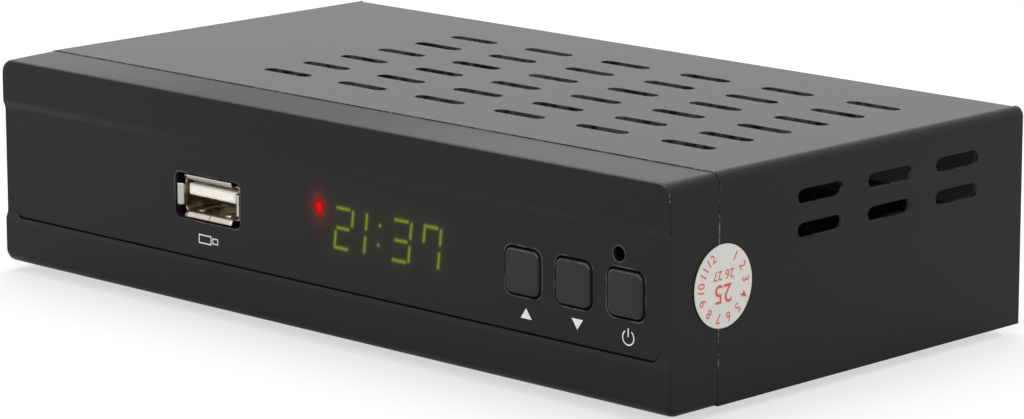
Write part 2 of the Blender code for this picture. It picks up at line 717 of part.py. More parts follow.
def panel_outline(y):
    """Front view of the moulding at a distance behind its front, drawn in where its edges are rounded.

    The top rises a little towards the seam, and its corners grow tighter, almost up to the cover.
    """
    side = HALF_WIDTH - rounded_inset(PANEL_END_EDGE, y)
    low = rounded_inset(PANEL_BOTTOM_EDGE, y)
    share = y / PANEL_DEPTH
    drop = PANEL_TOP_DROP + (PANEL_SEAM_DROP - PANEL_TOP_DROP) * share
    high = CASE_HEIGHT - drop - rounded_inset(PANEL_TOP_EDGE, y)
    foot_x, foot_z = side - PANEL_CORNER, low + PANEL_CORNER
    corner = PANEL_TOP_CORNER + (COVER_BEND - PANEL_TOP_CORNER) * share
    right = arc((foot_x, foot_z), PANEL_CORNER, -90, 0, ARC_STEPS)
    right += arc((side - corner, high - corner), corner, 0, 90, ARC_STEPS)
    return right + [(-x, z) for x, z in reversed(right)]


def panel_stations():
    """Distances behind the front at which the outline is drawn, closest where the edges are round."""
    near = [PANEL_BOTTOM_EDGE * (1 - math.cos(math.pi / 2 * i / EDGE_STEPS)) for i in range(EDGE_STEPS + 1)]
    return [*near, PANEL_DEPTH]


def recess_profile():
    """Side view of the shallow recess across the front.

    It meets the proud bands above and below by ramps that follow a half wave of the cosine.
    """
    ramp = [i / RAMP_STEPS for i in range(RAMP_STEPS + 1)]
    depth = [RECESS_DEPTH * (1 - math.cos(math.pi * t)) / 2 for t in ramp]
    lower = [(d, RECESS_LOW + RECESS_RAMP * t) for t, d in zip(ramp, depth)]
    upper = [(d, RECESS_HIGH - RECESS_RAMP * t) for t, d in zip(ramp, depth)]
    return [(-OVERRUN, RECESS_LOW), *lower, *reversed(upper), (-OVERRUN, RECESS_HIGH)]


def panel_bosses():
    """Middle of each screw boss for the front board, as (x, z)."""
    low, high = FRONT_BOARD_LOW + BOSS_INSET, FRONT_BOARD_HIGH - BOSS_INSET
    middle = (DISPLAY_X + DISPLAY_WIDTH / 2 + KEY_FIRST_X - KEY_FLANGE_WIDTH / 2) / 2
    return [
        (FRONT_BOARD_LEFT + BOSS_INSET, low),
        (middle, high),
        (FRONT_BOARD_RIGHT - BOSS_INSET, low),
    ]


def key_places():
    return [(x, KEY_Z) for x in spread(KEY_COUNT, KEY_PITCH, KEY_FIRST_X)]


def build_front_panel(parent, plastic):
    """The moulded front, hollow from behind, with a pocket for the overlay and its windows."""
    shape = loft([(panel_outline(y), y) for y in panel_stations()], "Y")
    panel = add_object("front_panel", shape, plastic, parent)
    low, high = SHEET + SEAT_GAP, CASE_HEIGHT - SHEET - SEAT_GAP
    outer = rectangle(-BASE_HALF, BASE_HALF, low, high)
    join(panel, prism(outer, "Y", PANEL_DEPTH - SPIGOT_ROOT, PANEL_DEPTH + SPIGOT_LENGTH), "spigot")
    inside = BASE_HALF - SPIGOT_WALL
    inner = rectangle(-inside, inside, low + SPIGOT_WALL, high - SPIGOT_WALL)
    cut(panel, prism(inner, "Y", RECESS_BACK, PANEL_DEPTH + SPIGOT_LENGTH + OVERRUN), "hollow")
    cut(panel, prism(recess_profile(), "X", -HALF_WIDTH - OVERRUN, HALF_WIDTH + OVERRUN), "recess")

    bosses = bmesh.new()
    for place in panel_bosses():
        prism(circle(BOSS_RADIUS, place), "Y", RECESS_BACK - BOSS_ROOT, FRONT_FACE_SEAT, bosses)
    join(panel, bosses, "bosses")
    bores = bmesh.new()
    for place in panel_bosses():
        prism(circle(BOSS_BORE, place), "Y", RECESS_BACK + PANEL_WALL, FRONT_FACE_SEAT + OVERRUN, bores)
    cut(panel, bores, "boss_bores")

    width = OVERLAY_WIDTH + 2 * OVERLAY_CLEARANCE
    height = OVERLAY_HIGH - OVERLAY_LOW + 2 * OVERLAY_CLEARANCE
    pocket = round_rect(width, height, OVERLAY_CORNER, (0, OVERLAY_MIDDLE - OVERLAY_POCKET_DROP))
    cut(panel, prism(pocket, "Y", -OVERRUN, OVERLAY_BACK + GLUE_GAP), "pocket")

    end = RECESS_BACK + OVERRUN
    windows = bmesh.new()
    for outline in (stick_window(), display_window(), *(key_window(place) for place in key_places())):
        prism(outline, "Y", -OVERRUN, end, windows)
    prism(circle(IR_HOLE_RADIUS, (IR_X, IR_Z)), "Y", -OVERRUN, end, windows)
    prism(circle(LAMP_RIM_RADIUS, (LAMP_X, LAMP_Z)), "Y", -OVERRUN, end, windows)
    cut(panel, windows, "windows")
    return panel


def stick_window():
    width = STICK_SHELL_WIDTH + 2 * (STICK_FLARE_X + STICK_WINDOW_GAP_X)
    height = STICK_SHELL_HEIGHT + 2 * (STICK_FLARE_Z + STICK_WINDOW_GAP_Z)
    return round_rect(width, height, STICK_WINDOW_CORNER, (STICK_X + STICK_WINDOW_SHIFT, STICK_Z))


def display_window():
    width, height = DISPLAY_WIDTH + 2 * SEAT_GAP, DISPLAY_HEIGHT + 2 * SEAT_GAP
    return round_rect(width, height, DISPLAY_WINDOW_CORNER, (DISPLAY_X, DISPLAY_Z))


def key_window(place):
    width, height = KEY_WIDTH + 2 * KEY_CLEARANCE, KEY_HEIGHT + 2 * KEY_CLEARANCE
    return round_rect(width, height, KEY_CORNER + KEY_CLEARANCE, place)


def build_overlay(parent, film):
    """The tinted film, with holes for the stick socket, the keys and the infrared receiver."""
    outline = round_rect(OVERLAY_WIDTH, OVERLAY_HIGH - OVERLAY_LOW, OVERLAY_CORNER, (0, OVERLAY_MIDDLE))
    overlay = add_object("front_overlay", prism(outline, "Y", RECESS_DEPTH, OVERLAY_BACK), film, parent)
    holes = bmesh.new()
    for shape in (stick_window(), *(key_window(place) for place in key_places())):
        prism(shape, "Y", -OVERRUN, RECESS_BACK, holes)
    prism(circle(IR_HOLE_RADIUS, (IR_X, IR_Z)), "Y", -OVERRUN, RECESS_BACK, holes)
    cut(overlay, holes, "holes")
    return overlay


def build_seal(parent, paper):
    """Round paper seal stuck over the seam on the right side."""
    x = HALF_WIDTH + GLUE_GAP
    outline = circle(SEAL_RADIUS, (PANEL_DEPTH + SEAT_GAP / 2 + SEAL_OFFSET, SEAL_Z), SEAL_STEPS)
    return add_object("seal_sticker", prism(outline, "X", x, x + SEAL_THICKNESS), paper, parent)


def build_feet(parent, rubber):
    """Four thin rubber pads under the floor."""
    profile = [
        (FOOT_RADIUS - FOOT_CHAMFER, -FOOT_HEIGHT),
        (FOOT_RADIUS, -FOOT_HEIGHT + FOOT_CHAMFER),
        (FOOT_RADIUS, -GLUE_GAP),
    ]
    shape = None
    x = HALF_WIDTH - FOOT_INSET_X
    for name, side, y in (
        ("foot_front_left", -1, FOOT_INSET_Y),
        ("foot_front_right", 1, FOOT_INSET_Y),
        ("foot_rear_left", -1, CASE_DEPTH - FOOT_INSET_Y),
        ("foot_rear_right", 1, CASE_DEPTH - FOOT_INSET_Y),
    ):
        if shape is None:
            shape = add_object(name, turned(profile, "Z"), rubber, parent, (side * x, y, 0)).data
        else:
            add_copy(name, shape, rubber, parent, (side * x, y, 0))


# Screws

def screw_mesh(radius, length):
    """Pan head screw with a cross recess. Its seat is z = 0 and its shank runs down."""
    crown = SCREW_HEAD_RADIUS - SCREW_HEAD_CROWN
    profile = [
        (radius / 2, -length),
        (radius, -length + radius / 2),
        (radius, 0),
        (SCREW_HEAD_RADIUS, 0),
        (SCREW_HEAD_RADIUS, SCREW_HEAD_HEIGHT - SCREW_HEAD_CROWN),
        (crown, SCREW_HEAD_HEIGHT),
    ]
    steel = bpy.data.materials["zinc steel"]
    blank = add_object("screw_blank", turned(profile, "Z", steps=12), steel, None)
    cross = cross_cutter(SCREW_CROSS_WIDTH, SCREW_CROSS_LENGTH, SCREW_CROSS_DEPTH, SCREW_HEAD_HEIGHT)
    cut(blank, cross, "cross")
    return baked_mesh(blank)


def build_screws(parent):
    """The fasteners: main board, front board and cover."""
    shape = screw_mesh(SCREW_RADIUS, BOARD_SCREW_LENGTH)
    for i, (x, y) in enumerate(standoff_places()):
        add_copy(f"board_screw_{i + 1}", shape, None, parent, (x, y, BOARD_TOP))
    shape = screw_mesh(FRONT_SCREW_RADIUS, FRONT_SCREW_LENGTH)
    for i, (x, z) in enumerate(panel_bosses()):
        screw = add_copy(f"front_board_screw_{i + 1}", shape, None, parent, (x, FRONT_BACK_SEAT, z))
        screw.rotation_euler = (math.radians(-90), 0, 0)
    shape = screw_mesh(SCREW_RADIUS, COVER_SCREW_LENGTH)
    for name, (x, z) in zip(("cover_screw_left", "cover_screw_right"), cover_screw_places()):
        screw = add_copy(name, shape, None, parent, (x, CASE_DEPTH + GLUE_GAP, z))
        screw.rotation_euler = (math.radians(-90), 0, 0)


# Front board and what it carries

def build_front_board(parent, laminate):
    width, height = FRONT_BOARD_RIGHT - FRONT_BOARD_LEFT, FRONT_BOARD_HIGH - FRONT_BOARD_LOW
    centre = ((FRONT_BOARD_LEFT + FRONT_BOARD_RIGHT) / 2, (FRONT_BOARD_LOW + FRONT_BOARD_HIGH) / 2)
    outline = round_rect(width, height, BOARD_CORNER, centre)
    board = add_object(
        "front_board", prism(outline, "Y", FRONT_BOARD_Y, FRONT_BOARD_Y + BOARD_THICKNESS), laminate, parent
    )
    holes = bmesh.new()
    for place in panel_bosses():
        outline = circle(FRONT_SCREW_RADIUS + SEAT_GAP, place)
        prism(outline, "Y", FRONT_BOARD_Y - OVERRUN, FRONT_BOARD_Y + BOARD_THICKNESS + OVERRUN, holes)
    cut(board, holes, "screw_holes")
    return board


def build_display(parent, plastic):
    """Moulded block of the four digit display, its front edge chamfered."""
    face = OVERLAY_BACK + DISPLAY_SETBACK
    centre = (DISPLAY_X, DISPLAY_Z)
    inner_w, inner_h = DISPLAY_WIDTH - 2 * DISPLAY_EDGE, DISPLAY_HEIGHT - 2 * DISPLAY_EDGE
    inner = round_rect(inner_w, inner_h, DISPLAY_EDGE, centre)
    outer = round_rect(DISPLAY_WIDTH, DISPLAY_HEIGHT, DISPLAY_EDGE, centre)
    sections = [(inner, face), (outer, face + DISPLAY_EDGE), (outer, FRONT_FACE_SEAT)]
    return add_object("display_module", loft(sections, "Y"), plastic, parent)


def leg(x, z, start):
    """A square wire leg that runs back to the front board."""
    half = LEG_SIDE / 2
    return rectangle(x - half, x + half, z - half, z + half), start, FRONT_FACE_SEAT


def build_lamp(parent, lens):
    """Standby lamp: a domed lens on a rim, standing on two legs."""
    front = OVERLAY_BACK + LAMP_SETBACK
    rim = front + LAMP_LENGTH
    dome = [(LAMP_RADIUS * math.sin(a), front + LAMP_RADIUS * (1 - math.cos(a)))
            for a in (math.radians(10), math.radians(35), math.radians(65), math.radians(90))]
    step = rim - LAMP_RIM
    profile = [*dome, (LAMP_RADIUS, step), (LAMP_RIM_RADIUS, step), (LAMP_RIM_RADIUS, rim)]
    lamp = add_object("standby_lamp", turned(profile, "Y", (LAMP_X, LAMP_Z), steps=16), lens, parent)
    legs = bmesh.new()
    for side in (-1, 1):
        outline, start, end = leg(LAMP_X + side * LEG_PITCH / 4, LAMP_Z, rim - LAMP_RIM / 2)
        prism(outline, "Y", start, end, legs)
    return join(lamp, legs, "legs")


def build_ir_receiver(parent, plastic):
    """Infrared receiver: a small block with a domed lens on three legs."""
    back = FRONT_FACE_SEAT - IR_STAND
    front = back - IR_BODY_DEPTH
    outline = round_rect(IR_BODY_WIDTH, IR_BODY_HEIGHT, CHIP_EDGE, (IR_X, IR_Z), 2)
    receiver = add_object("ir_receiver", prism(outline, "Y", front, back), plastic, parent)
    dome = [(IR_LENS_RADIUS * math.sin(a), front - IR_LENS_RADIUS * math.cos(a) / 2)
            for a in (math.radians(15), math.radians(40), math.radians(65), math.radians(90))]
    profile = [*dome, (IR_LENS_RADIUS, front + IR_BODY_DEPTH / 3)]
    join(receiver, turned(profile, "Y", (IR_X, IR_Z), steps=16), "lens")
    legs = bmesh.new()
    for step in (-1, 0, 1):
        outline, start, end = leg(IR_X + step * LEG_PITCH / 2, IR_Z, back - IR_BODY_DEPTH / 3)
        prism(outline, "Y", start, end, legs)
    return join(receiver, legs, "legs")


def plunger_face():
    """Where the front of a plunger stands at rest."""
    return FRONT_FACE_SEAT - SWITCH_DEPTH - PLUNGER_OUT


def build_keys(parent, cap_plastic, switch_plastic, plunger_plastic):
    """Three keys, each a cap on its own slide axis over a tact switch."""
    names = ("up", "down", "power")
    flange = RECESS_BACK + SEAT_GAP
    stem_end = plunger_face() - SEAT_GAP
    wide, tall = KEY_WIDTH - 2 * KEY_EDGE, KEY_HEIGHT - 2 * KEY_EDGE
    steps = 4 * (ARC_STEPS + 1)
    head = round_rect(KEY_WIDTH, KEY_HEIGHT, KEY_CORNER)
    rim = round_rect(KEY_FLANGE_WIDTH, KEY_FLANGE_WIDTH + KEY_HEIGHT - KEY_WIDTH, KEY_CORNER)
    stem = arc((0, 0), KEY_STEM_RADIUS, 360 / steps, 360, steps - 1)
    sections = [
        (round_rect(wide, tall, KEY_CORNER - KEY_EDGE), KEY_FRONT),
        (head, KEY_FRONT + KEY_EDGE),
        (head, flange),
        (rim, flange),
        (rim, flange + KEY_FLANGE_THICKNESS),
        (stem, flange + KEY_FLANGE_THICKNESS),
        (stem, stem_end),
    ]
    switch_front = FRONT_FACE_SEAT - SWITCH_DEPTH
    bore = PLUNGER_RADIUS + SEAT_GAP
    body = [
        (round_rect(SWITCH_SIDE - 2 * SWITCH_EDGE, SWITCH_SIDE - 2 * SWITCH_EDGE, SWITCH_EDGE), switch_front),
        (round_rect(SWITCH_SIDE, SWITCH_SIDE, SWITCH_EDGE), switch_front + SWITCH_EDGE),
        (round_rect(SWITCH_SIDE, SWITCH_SIDE, SWITCH_EDGE), FRONT_FACE_SEAT),
    ]
    button = [
        (PLUNGER_RADIUS - KEY_EDGE, plunger_face()),
        (PLUNGER_RADIUS, plunger_face() + KEY_EDGE),
        (PLUNGER_RADIUS, switch_front + PLUNGER_IN),
    ]
    cap_shape, plunger_shape = None, None
    for name, (x, z) in zip(names, key_places()):
        axis = bpy.data.objects.new(f"{name}_key_axis", None)
        bpy.context.scene.collection.objects.link(axis)
        axis.parent = parent
        axis.location = (x, 0, z)
        if cap_shape is None:
            cap_shape = add_object(f"{name}_key_cap", loft(sections, "Y"), cap_plastic, axis).data
            mesh = turned(button, "Y", steps=16)
            plunger_shape = add_object(f"{name}_switch_plunger", mesh, plunger_plastic, axis).data
        else:
            add_copy(f"{name}_key_cap", cap_shape, cap_plastic, axis, (0, 0, 0))
            add_copy(f"{name}_switch_plunger", plunger_shape, plunger_plastic, axis, (0, 0, 0))
        switch = add_object(f"{name}_switch_body", loft(body, "Y"), switch_plastic, parent, (x, 0, z))
        depth = PLUNGER_IN + KEY_TRAVEL + SEAT_GAP
        cut(switch, prism(circle(bore, steps=16), "Y", switch_front - OVERRUN, switch_front + depth), "bore")


def build_stick_socket(parent, plated, white):
    """Socket for a memory stick: a plated shell with four flared lips, and its white tongue."""
    centre = (STICK_X, STICK_Z)
    wall = STICK_SHELL_WALL
    inner_w, inner_h = STICK_SHELL_WIDTH - 2 * wall, STICK_SHELL_HEIGHT - 2 * wall
    outer = round_rect(STICK_SHELL_WIDTH, STICK_SHELL_HEIGHT, STICK_CORNER, centre, 3)
    inner = round_rect(inner_w, inner_h, STICK_CORNER - wall, centre, 3)
    flare_w, flare_h = 2 * STICK_FLARE_X, 2 * STICK_FLARE_Z
    flare_out = round_rect(
        STICK_SHELL_WIDTH + flare_w, STICK_SHELL_HEIGHT + flare_h, STICK_CORNER, centre, 3
    )
    flare_in = round_rect(inner_w + flare_w, inner_h + flare_h, STICK_CORNER - wall, centre, 3)
    neck = STICK_MOUTH_Y + STICK_FLARE_DEPTH
    sections = [
        (outer, FRONT_FACE_SEAT),
        (outer, neck + wall),
        (flare_out, STICK_MOUTH_Y + wall),
        (flare_out, STICK_MOUTH_Y),
        (flare_in, STICK_MOUTH_Y),
        (inner, neck),
        (inner, FRONT_FACE_SEAT),
    ]
    shell = add_object("stick_socket_shell", loft(sections, "Y", ring=True), plated, parent)
    notches = bmesh.new()
    reach = STICK_LIP_NOTCH
    for side_x in (-1, 1):
        for side_z in (-1, 1):
            x = STICK_X + side_x * (STICK_SHELL_WIDTH + STICK_FLARE_X) / 2
            z = STICK_Z + side_z * (STICK_SHELL_HEIGHT + STICK_FLARE_Z) / 2
            low = (x - reach, STICK_MOUTH_Y - OVERRUN, z - reach)
            block(low, (x + reach, neck + STICK_NOTCH_DEPTH, z + reach), notches)
    cut(shell, notches, "lip_notches")

    room_w, room_h = inner_w - 2 * GLUE_GAP, inner_h - 2 * GLUE_GAP
    back = FRONT_FACE_SEAT
    room = round_rect(room_w, room_h, STICK_CORNER - wall, centre, 3)
    insert = add_object(
        "stick_socket_tongue", prism(room, "Y", back - STICK_BLOCK_DEPTH, back), white, parent
    )
    middle = STICK_Z + STICK_TONGUE_RISE
    half_w, half_t = inner_w / 2 - STICK_TONGUE_GAP, STICK_TONGUE_THICKNESS / 2
    edge = half_t / 3
    front = STICK_MOUTH_Y + STICK_TONGUE_SETBACK
    left, right, low, high = STICK_X - half_w, STICK_X + half_w, middle - half_t, middle + half_t
    body = rectangle(left, right, low, high)
    nose = rectangle(left + edge, right - edge, low + edge, high - edge)
    tongue = loft([(nose, front), (body, front + edge), (body, back - STICK_BLOCK_DEPTH / 2)], "Y")
    join(insert, tongue, "tongue")


# Main board and what it carries

def build_main_board(parent, laminate):
    half = MAIN_BOARD_WIDTH / 2
    length = REAR_INSIDE_Y - MAIN_BOARD_BACK_GAP - MAIN_BOARD_FRONT
    centre = (0, MAIN_BOARD_FRONT + length / 2)
    outline = round_rect(2 * half, length, BOARD_CORNER, centre)
    board = add_object(
        "main_board", prism(outline, "Z", MAIN_BOARD_Z, MAIN_BOARD_Z + BOARD_THICKNESS), laminate, parent
    )
    holes = bmesh.new()
    for place in standoff_places():
        outline = circle(BOARD_HOLE_RADIUS, place)
        prism(outline, "Z", MAIN_BOARD_Z - OVERRUN, MAIN_BOARD_Z + BOARD_THICKNESS + OVERRUN, holes)
    return cut(board, holes, "screw_holes")


def aerial_places():
    """Where the two aerial connectors stand: the input, then the output."""
    return [TUNER_X - AERIAL_PITCH / 2, TUNER_X + AERIAL_PITCH / 2]


def build_tuner(parent, tin, nickel, insulator):
    """Screened tuner, with the aerial input and the looped output on its back."""
    outline = round_rect(TUNER_WIDTH, TUNER_DEPTH, TUNER_EDGE, (TUNER_X, SOCKET_BACK - TUNER_DEPTH / 2), 2)
    low, high = BOARD_TOP, BOARD_TOP + TUNER_HEIGHT
    add_object("tuner_can", prism(outline, "Z", low, high), tin, parent)

    input_x, output_x = aerial_places()
    start = SOCKET_BACK + SEAT_GAP
    tip = OVERALL_DEPTH
    collar = REAR_WALL_Y + AERIAL_COLLAR_REACH
    floor = start + AERIAL_FLOOR
    for name, x, radius, bore in (
        ("aerial_in_sleeve", input_x, AERIAL_IN_RADIUS, AERIAL_IN_RADIUS - AERIAL_IN_WALL),
        ("aerial_out_sleeve", output_x, AERIAL_OUT_RADIUS, AERIAL_OUT_RADIUS - AERIAL_OUT_WALL),
    ):
        profile = [
            (AERIAL_COLLAR_RADIUS, start),
            (AERIAL_COLLAR_RADIUS, collar),
            (radius, collar),
            (radius, tip - AERIAL_RIM),
            (radius - AERIAL_RIM, tip),
            (bore + AERIAL_RIM, tip),
            (bore, tip - AERIAL_RIM),
            (bore, start),
        ]
        add_object(name, turned(profile, "Y", (x, AERIAL_Z), steps=20, ring=True), nickel, parent)

    washer = AERIAL_IN_RADIUS - AERIAL_IN_WALL - GLUE_GAP
    bore = AERIAL_CONTACT_RADIUS - AERIAL_CONTACT_WALL
    contact_tip = tip - AERIAL_CONTACT_SETBACK
    profile = [
        (washer, start),
        (washer, start + AERIAL_WASHER),
        (AERIAL_CONTACT_RADIUS, start + AERIAL_WASHER),
        (AERIAL_CONTACT_RADIUS, contact_tip),
        (bore, contact_tip),
        (bore, floor),
    ]
    add_object("aerial_in_contact", turned(profile, "Y", (input_x, AERIAL_Z)), insulator, parent)
    washer = AERIAL_OUT_RADIUS - AERIAL_OUT_WALL - GLUE_GAP
    profile = [
        (washer, start),
        (washer, start + AERIAL_WASHER),
        (AERIAL_PIN_RADIUS, start + AERIAL_WASHER),
        (AERIAL_PIN_RADIUS, contact_tip - AERIAL_PIN_RADIUS),
        (AERIAL_PIN_RADIUS / 2, contact_tip),
    ]
    add_object("aerial_out_pin", turned(profile, "Y", (output_x, AERIAL_Z)), nickel, parent)


def picture_outline(grow):
    """Rectangle whose lower corners are cut back in a shoulder, grown by a margin."""
    half, base = PICTURE_WIDTH / 2 + grow, PICTURE_WIDTH / 2 - PICTURE_TAPER + grow
    low, high = BOARD_TOP - grow, BOARD_TOP + PICTURE_HEIGHT + grow
    shoulder = low + PICTURE_SHOULDER
    points = [(base, low), (half, shoulder), (half, high)]
    points += [(-x, z) for x, z in reversed(points)]
    return [(PICTURE_X + x, z) for x, z in points]


def build_picture_socket(parent, plated, black):
    """Shell of the digital picture socket, with the contact tongue in it."""
    end = REAR_WALL_Y + PICTURE_REACH
    start = end - PICTURE_DEPTH
    outer, inner = picture_outline(0), picture_outline(-PICTURE_WALL)
    shell = loft([(outer, start), (outer, end), (inner, end), (inner, start)], "Y", ring=True)
    add_object("picture_socket_shell", shell, plated, parent)
    room = picture_outline(-PICTURE_WALL - GLUE_GAP)
    insert = add_object(
        "picture_socket_tongue", prism(room, "Y", start, start + PICTURE_BLOCK_DEPTH), black, parent
    )
    middle = BOARD_TOP + PICTURE_HEIGHT / 2 + PICTURE_TONGUE_THICKNESS / 2
    half_w, half_t = PICTURE_WIDTH / 2 - PICTURE_WALL - PICTURE_TONGUE_GAP, PICTURE_TONGUE_THICKNESS / 2
    low = (PICTURE_X - half_w, start + PICTURE_BLOCK_DEPTH / 2, middle - half_t)
    high = (PICTURE_X + half_w, end - PICTURE_TONGUE_SETBACK, middle + half_t)
    return join(insert, block(low, high), "tongue")


def slanted_outline(width, height, slant, centre):
    """Rectangle with one end slanted off at its foot, the shape of the wide plug."""
    half, tall = width / 2, height / 2
    points = [(-half + slant, -tall), (half, -tall), (half, tall), (-half, tall), (-half, -tall + slant)]
    return [(centre[0] + x, centre[1] + z) for x, z in points]


def build_wide_socket(parent, black):
    """Wide socket: a block with a slanted groove for the plug's shroud and two rows of slots."""
    end = REAR_WALL_Y + WIDE_REACH
    start = end - WIDE_DEPTH
    centre = (WIDE_X, BOARD_TOP + WIDE_HEIGHT / 2)
    outline = round_rect(WIDE_WIDTH, WIDE_HEIGHT, SHEET, centre, 3)
    socket = add_object("wide_socket", prism(outline, "Y", start, end), black, parent)
    wide, tall = WIDE_WIDTH - 2 * WIDE_RIM_X, WIDE_HEIGHT - 2 * WIDE_RIM_Z
    outer = slanted_outline(wide, tall, WIDE_SLANT, centre)
    narrow, short = wide - 2 * WIDE_GROOVE, tall - 2 * WIDE_GROOVE
    inner = slanted_outline(narrow, short, WIDE_SLANT - WIDE_GROOVE / 2, centre)
    floor, island = end - WIDE_GROOVE_DEPTH, end - WIDE_ISLAND_SETBACK
    cut(socket, prism(outer, "Y", floor, end + OVERRUN), "well")
    join(socket, prism(inner, "Y", floor - OVERRUN, island), "island")
    slots = bmesh.new()
    count = int((narrow - WIDE_SLANT) // WIDE_SLOT_PITCH)
    for row in (-1, 1):
        for i in range(count):
            x = WIDE_X + (i - (count - 1) / 2) * WIDE_SLOT_PITCH + row * WIDE_SLOT_PITCH / 4
            z = centre[1] + row * WIDE_ROW_OFFSET
            half_w, half_h = WIDE_SLOT_WIDTH / 2, WIDE_SLOT_HEIGHT / 2
            low = (x - half_w, island - WIDE_SLOT_DEPTH, z - half_h)
            block(low, (x + half_w, island + OVERRUN, z + half_h), slots)
    return cut(socket, slots, "slots")


def build_sound_socket(parent, black, nickel, orange):
    """Round socket for digital sound: body, plated barrel and insulated core."""
    centre = (SOUND_X, BOARD_TOP + SOUND_BODY_HEIGHT / 2)
    outline = round_rect(SOUND_BODY_WIDTH, SOUND_BODY_HEIGHT, SHEET, centre, 3)
    body = add_object(
        "sound_socket_body", prism(outline, "Y", SOCKET_BACK - SOUND_BODY_DEPTH, SOCKET_BACK), black, parent
    )
    root = SOCKET_BACK - SOUND_BARREL_ROOT
    well = prism(circle(SOUND_BARREL_RADIUS + SEAT_GAP, centre), "Y", root - SEAT_GAP, SOCKET_BACK + OVERRUN)
    cut(body, well, "well")
    tip = REAR_WALL_Y + SOUND_REACH
    bore = SOUND_BARREL_RADIUS - SOUND_BARREL_WALL
    core = bore - SOUND_CORE_GAP
    profile = [
        (SOUND_BARREL_RADIUS, root),
        (SOUND_BARREL_RADIUS, tip - AERIAL_RIM),
        (SOUND_BARREL_RADIUS - AERIAL_RIM, tip),
        (bore, tip),
        (bore, root),
    ]
    add_object("sound_socket_barrel", turned(profile, "Y", centre, ring=True), nickel, parent)
    face = tip - SOUND_CORE_SETBACK
    profile = [
        (core, root),
        (core, face),
        (SOUND_CORE_BORE, face),
        (SOUND_CORE_BORE, face - SOUND_CORE_DEPTH),
    ]
    add_object("sound_socket_core", turned(profile, "Y", centre), orange, parent)


def build_power_jack(parent, black, nickel):
    """Barrel jack for the power lead: a block with a round nose, a bore and its pin."""
    centre = (POWER_X, BOARD_TOP + POWER_BODY_HEIGHT / 2)
    start = SOCKET_BACK - POWER_BODY_DEPTH
    outline = round_rect(POWER_BODY_WIDTH, POWER_BODY_HEIGHT, SHEET, centre, 3)
    body = add_object("power_jack_body", prism(outline, "Y", start, SOCKET_BACK), black, parent)
    end = REAR_WALL_Y + POWER_REACH
    join(body, prism(circle(POWER_NOSE_RADIUS, centre), "Y", SOCKET_BACK - OVERRUN, end), "nose")
    floor = end - POWER_BORE_DEPTH
    cut(body, prism(circle(POWER_BORE_RADIUS, centre), "Y", floor, end + OVERRUN), "bore")
    tip = end - POWER_PIN_SETBACK
    profile = [
        (POWER_PIN_RADIUS, floor + SEAT_GAP),
        (POWER_PIN_RADIUS, tip - POWER_PIN_RADIUS / 2),
        (POWER_PIN_RADIUS / 2, tip),
    ]
    return add_object("power_jack_pin", turned(profile, "Y", centre, steps=16), nickel, parent)


def chip(name, margin, y, size, corner, material, parent):
    """A moulded block that stands on the main board, its top edge chamfered.

    The margin is the distance of its middle from the right side of the case.
    """
    width, length, height = size
    outer = round_rect(width, length, corner, steps=3)
    inner = round_rect(width - 2 * CHIP_EDGE, length - 2 * CHIP_EDGE, corner, steps=3)
    mesh = loft([(outer, 0), (outer, height - CHIP_EDGE), (inner, height)])
    return add_object(name, mesh, material, parent, (HALF_WIDTH - margin, y, BOARD_TOP))


def build_heatsink(parent, aluminium):
    """Finned block on the processor: a comb outline drawn along its length."""
    half = HEATSINK_SIDE / 2
    pitch = (HEATSINK_SIDE - HEATSINK_FIN) / (HEATSINK_FINS - 1)
    points = [(half, 0), (half, HEATSINK_HEIGHT)]
    for i in range(HEATSINK_FINS - 1):
        edge = half - HEATSINK_FIN - i * pitch
        gap = pitch - HEATSINK_FIN
        points += [(edge, HEATSINK_HEIGHT), (edge, HEATSINK_BASE)]
        points += [(edge - gap, HEATSINK_BASE), (edge - gap, HEATSINK_HEIGHT)]
    points += [(-half, HEATSINK_HEIGHT), (-half, 0)]
    place = (HALF_WIDTH - HEATSINK_END_MARGIN, HEATSINK_Y, BOARD_TOP + PROCESSOR_HEIGHT + SEAT_GAP)
    return add_object("heatsink", prism(points, "Y", -half, half), aluminium, parent, place)


